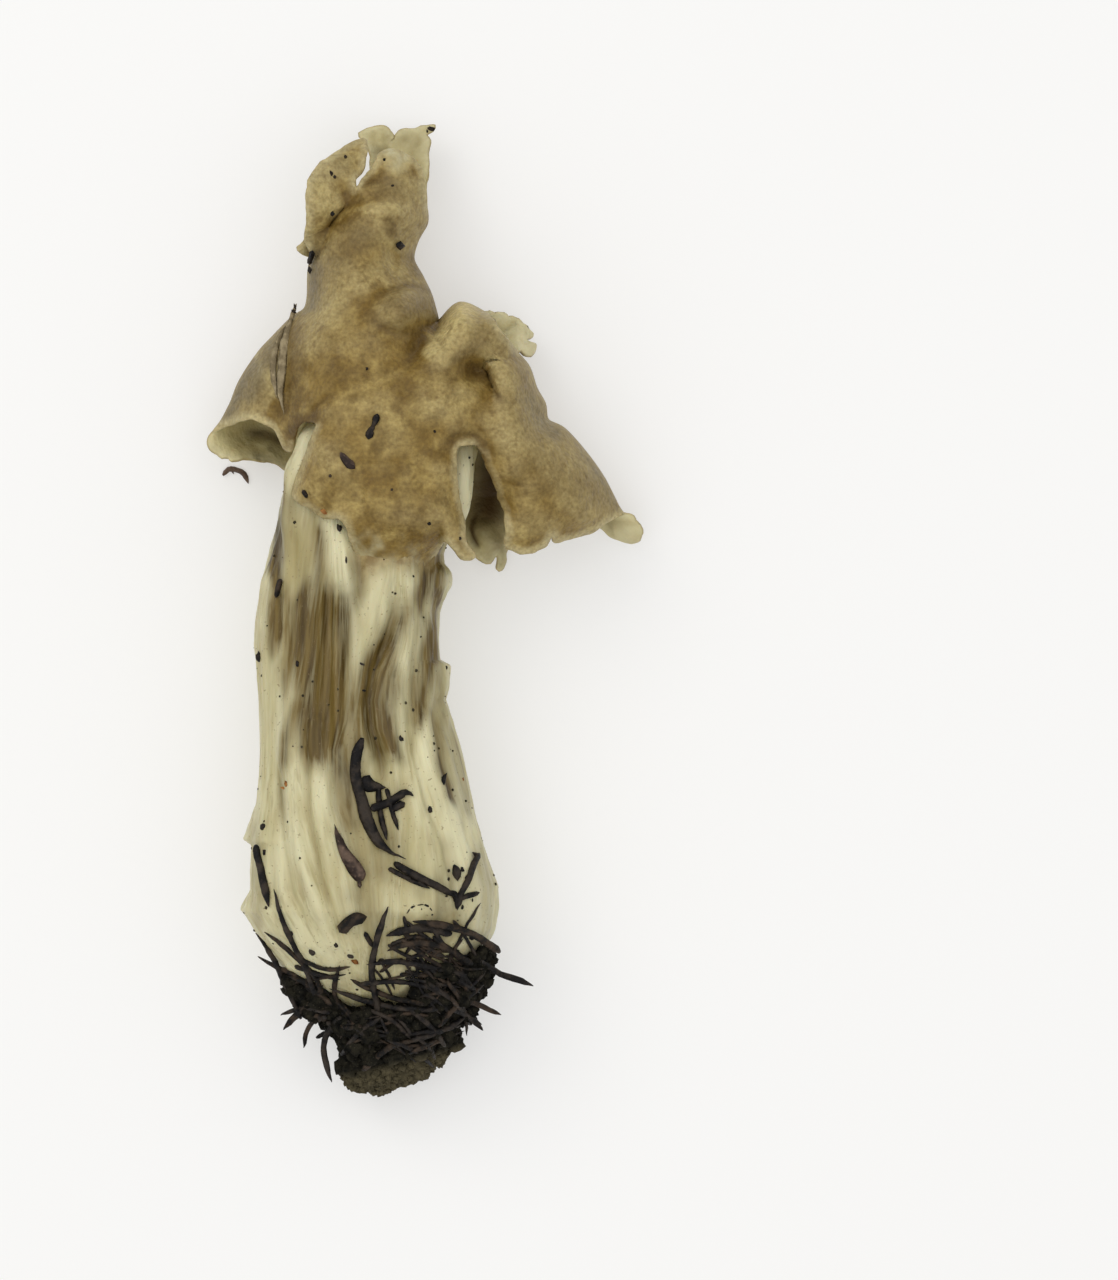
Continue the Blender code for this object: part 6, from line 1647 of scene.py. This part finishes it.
# %% Loose litter: replaced solid, where it lies, strands, material
LOOSE = [
    ("needle_curved", stipe_tree,
     [([(-8.6, -18.3), (-9.5, -21), (-9.6, -24), (-8.8, -27), (-8, -30), (-6.5, -33), (-4.5, -34.7),
        (-2.3, -35.7)], [1.2, 1.5, 1.6, 1.6, 1.8, 1.9, 1.5, 0.9, 0.4], 0.9)], needle_dark),
    ("needle_cluster_middle", stipe_tree,
     [([(-7.5, -28.5), (-5, -27.6), (-2.5, -26.2), (-1.4, -26.7)], 1.2, 0.9),
      ([(-5.2, -25.6), (-4.6, -28), (-3.6, -31.5)], 0.7, 0.6),
      ([(-6.4, -25.4), (-6.1, -29), (-5.2, -33)], 0.8, 0.6),
      ([(-8.8, -24.1), (-7.6, -25.2), (-5.2, -25.4)], [2.4, 2.2, 1.2, 0.3], 0.5),
      ([(-4.4, -28.6), (-2.6, -27.6)], 1.1, 0.6)], needle_dark),
    ("needle_short", stipe_tree,
     [([(-8.6, -38.6), (-10, -36.5), (-11.5, -34), (-12.6, -30.6)], [1.9, 2.1, 1.9, 1.4, 0.9, 0.4], 1),
      ([(-9.1, -38), (-9, -39.8)], 0.6, 0.5)], needle_dull),
    ("needle_left", stipe_tree,
     [([(-24.1, -33.8), (-23.4, -37), (-22.7, -40), (-22.2, -42.5)], 1.1, 0.7)], needle_dark),
    ("needle_pair_right", stipe_tree,
     [([(-4.2, -36.2), (-1, -38), (2, -39.5), (5, -41.3)], 1.1, 0.9),
      ([(-5, -37), (-2, -38.5), (1, -39.8)], 0.7, 0.6),
      ([(8, -35), (7.2, -36.5), (6.5, -38.5), (5.5, -40.5), (4.8, -43)], 0.9, 0.8),
      ([(5, -41.4), (8, -40.5)], 0.8, 0.7),
      ([(4.3, -36.6), (4.8, -37.6), (4.9, -38.8)], [0.5, 1.4, 0.7], 0.9),
      ([(7, -34.8), (7.6, -35.2), (8, -36)], [0.4, 1, 0.4], 0.6),
      ([(4, -40.2), (5, -41.6), (4.6, -42.8)], [0.6, 1.5, 0.5], 0.8),
      ([(6, -38.2), (6.8, -38.8)], 0.9, 0.7)], needle_dark),
    ("bark_chip", stipe_tree, [([(-11.8, -46), (-10.2, -44.4), (-8, -43.8)], 1.7, 1.2)], needle_brown),
    ("needle_thin", stipe_tree, [([(-20.5, 4.4), (-21.2, 1.6)], 0.8, 0.6)], needle_brown),
    ("dry_blade", cap_tree,
     [([(-18.6, 44.2), (-19.3, 41.6), (-20.1, 38), (-20.4, 34.5), (-20.6, 31), (-20, 27.8)],
       [0.4, 0.8, 1.2, 1.3, 1.2, 0.8, 0.3], 0.3),
      ([(-20, 41), (-21.2, 38.2), (-21.6, 35), (-21.4, 32), (-20.9, 30)], [0.3, 0.8, 1, 0.8, 0.3], 0.25)],
     blade_pale),
    ("black_bit", cap_tree,
     [([(-6.4, 27.8), (-6.8, 26.6), (-7.3, 25.9)], [0.5, 1.1, 0.7, 0.3], 0.5),
      ([(-6.8, 26.1), (-7.4, 25.5), (-7.7, 24.2)], [0.4, 0.8, 1.3, 0.9], 0.5)], needle_dark),
    ("brown_bit", cap_tree, [([(-11.7, 22.3), (-10.8, 21), (-9.6, 20)], [0.5, 1, 1.3, 0.8], 0.5)],
     needle_dull),
    ("square_bit", cap_tree, [([(-3.9, 52.3), (-2.7, 52.2)], 1.5, 1.1)], needle_dark),
    ("black_fleck", cap_tree,
     [([(-16, 51.6), (-16.5, 50.4), (-16.5, 49.6)], 0.8, 0.8),
      ([(-16.6, 49.4), (-16.5, 48.4)], 0.7, 0.7)], needle_dark),
    ("dark_curl", None,
     [([(-29.6, 19.6), (-28.8, 20.4), (-27.5, 20.4), (-26.5, 19.8), (-25.9, 18.4)], 0.8, 0.8),
      ([(-28.4, 20.4), (-28, 19.8)], 1, 0.7)], needle_dull)]
loose = {name: make_litter(name + "_fine", strands, [tree] if tree else [], material)
         for name, tree, strands, material in LOOSE}
print(len(loose), "loose pieces of litter")

# %% Needles on the hidden sides of the clod
straight = [Vector((0.0, 0.1 * step * step, 1.5 * step)) for step in range(-1, 6)]
needle_form = hidden_shape("needle_form", *needle_rings([p.zyx for p in straight], 1.1, 0.8))
needle_form.data.transform(Matrix.Rotation(math.radians(-68), 4, "Y"))
side_needles = scatter("side_needles", scatter_group, clod, needle_form, needle_dark,
                       Density=30000.0, Seed=5, Smallest=0.6, Largest=1.1, Lean=0.5)
SIDE_END, SIDE_TOP, SIDE_MARGIN = -68.6, 15.0, 0.8


def on_hidden_side(copy):
    """Whether a needle lies low on the clod and inside its outline as seen from above."""
    x, y = copy[:, 0], copy[:, 1]
    return (y.min() > SIDE_END and copy[:, 2].max() < SIDE_TOP and above_table(copy)
            and (x > along_stipe(y, CLOD_LEFT) + SIDE_MARGIN).all()
            and (x < along_stipe(y, CLOD_RIGHT) - SIDE_MARGIN).all())


keep_copies(side_needles, needle_form, on_hidden_side)

# %% [markdown]
# ## Small debris
# Forest mushrooms carry specks of soil, bits of bark and the odd dead leaf scrap. They could be
# painted on, but a painted speck has no shadow. Each one is a flattened crumb instead, laid on
# the surface by a ray from above.

# %% Specks: x, y, width, length, turn
CAP_SPECKS = [
    (-13.3, 62.6, 0.5, 0.8, 20), (-12.8, 62.1, 0.4, 0.5, 0), (-11.3, 65, 0.5, 0.6, 0),
    (-5.7, 64.6, 0.4, 0.5, 0), (-13.2, 56.9, 0.7, 0.9, 40), (-4.5, 60.8, 0.4, 0.4, 0),
    (-8, 34.3, 0.4, 0.5, 0), (1.7, 25.3, 0.4, 0.4, 0), (0.9, 12.2, 0.5, 0.6, 0), (5.3, 10.1, 0.4, 0.5, 0),
    (-4.4, 17, 0.4, 0.4, 0), (-13.2, 19, 0.5, 0.5, 0), (-16.8, 16.5, 0.8, 1.2, 30),
    (-6.6, 65.6, 0.5, 1.6, -30), (0.9, 69.7, 0.7, 1, 70), (0.3, 69.4, 0.35, 0.5, 20)]
STIPE_SPECKS = [
    (-12, 11.6, 0.8, 1.1, 20), (-23.7, -6.8, 0.9, 1.5, 0), (-18, -7.8, 0.6, 0.8, 0),
    (-3.2, -18.5, 0.6, 0.9, 30), (1, -28.7, 0.7, 0.9, 10), (-23, -31.2, 0.8, 1, 30),
    (-22.8, -34.8, 0.6, 0.9, 0), (-2.1, -43.1, 0.2, 0.8, -35), (-1.5, -42.5, 0.3, 0.7, -60),
    (-0.5, -42.2, 0.2, 1.2, -84), (0.5, -42.3, 0.35, 0.8, -110), (1.1, -42.8, 0.2, 0.7, -140),
    (1.3, -43.6, 0.25, 0.3, 0), (-0.2, -42.8, 0.2, 0.3, 0), (5.6, -37.2, 0.5, 0.7, 20),
    (5.6, -42.6, 0.4, 0.7, 0), (3.6, -38.6, 0.4, 0.5, 0), (7, -41.6, 0.3, 0.5, 0),
    (-8.6, -11.6, 0.3, 0.9, 80), (-8.8, -7.8, 0.3, 1, 70), (-11, 7, 0.3, 0.9, 0),
    (2.8, -24.5, 0.8, 2.3, -25), (3.2, -8.4, 0.4, 0.6, 0), (-16, -49, 0.9, 1.2, 60),
    (-12.5, -48, 0.6, 0.8, 10), (3, -46.4, 0.7, 0.9, 0), (6.8, -47, 0.6, 0.9, 50),
    (-19, -46.4, 0.8, 1, 0), (-6, -50.2, 0.8, 1.1, 0), (-10.4, -49.6, 0.7, 1, 70)]

BLADE_SPECKS = [(-18.75, 43.6, 0.4, 1.2, 10), (-18.9, 43, 0.5, 0.8, 50)]
RUSTY_SPECKS = [(-9.8, -50.4, 0.8, 1.2, 60), (-19.6, -25, 0.5, 1, 20), (-20, -25.6, 0.4, 0.8, 70),
                (5.6, -24.4, 0.3, 0.5, 0)]


def make_specks(name, marks, tree, material):
    """One object of flattened crumbs on a surface."""
    ball, sides = coarse_ball(6, 9)
    ball = np.array(ball)
    corners, faces = [], []
    for index, (x, y, width, length, turn) in enumerate(marks):
        grain = ball * (1.0 + 0.48 * lumps(ball * 2.0 + index * 7.0, 1.1, 71))[:, None]
        grain = grain * (width / 2, length / 2, width * 0.35)
        cos, sin = math.cos(math.radians(turn)), math.sin(math.radians(turn))
        grain = grain @ np.array([[cos, sin, 0], [-sin, cos, 0], [0, 0, 1]])
        height = top_of([tree], x, y)
        faces += [tuple(len(corners) * len(ball) + point for point in side) for side in sides]
        corners.append(grain + (x, y, (height or 1.0) + width * 0.1))
    piece = to_object(name, np.vstack(corners), faces)
    piece.data.materials.append(material)
    return piece


cap_specks = make_specks("cap_specks", CAP_SPECKS, cap_tree, needle_brown)
stipe_specks = make_specks("stipe_specks", STIPE_SPECKS, stipe_tree, needle_dark)
blade_specks = make_specks("blade_specks", BLADE_SPECKS, search_tree(loose["dry_blade"]),
                           needle_dark)
print("the speck on the blade is", round(blade_specks.data.vertices[0].co.z / MM, 1), "mm up")
rusty_specks = make_specks("rusty_specks", RUSTY_SPECKS, stipe_tree, rusty)
cap_rust = make_specks("cap_rust", [(-14.1, 13.9, 0.8, 1.1, 60)], cap_tree, rusty)

# %% [markdown]
# ## Handing the pieces over
# Each fine surface rides on the one body of the object and takes the place of its plain solid.
# Crumbs, dust, the needles of the clod and specks ride along with no solid of their own.

# %% Pieces on the frame
owners = [(cap, "cap_skin", ["cap"]), (stipe, "stipe_flesh", ["stipe"]),
          (clod, "soil", ["soil_clod"])]
owners += [(piece, "soil", []) for piece in (coarse_crumbs, fine_crumbs, crust_crumbs, dust)]
owners += [(piece, "dry_litter", [])
           for piece in (clod_needles, brown_needles, side_needles, cap_specks, stipe_specks,
                         rusty_specks, blade_specks, cap_rust)]
for name, piece in loose.items():
    owners.append((piece, "dry_blade" if name == "dry_blade" else "dry_litter", [name]))
for piece, slot_name, solids in owners:
    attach(piece, "root")
    if solids:
        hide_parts(*solids)
total = sum(len(piece.data.polygons) for piece, _, _ in owners)
print(len(owners), "pieces,", total, "faces in all")
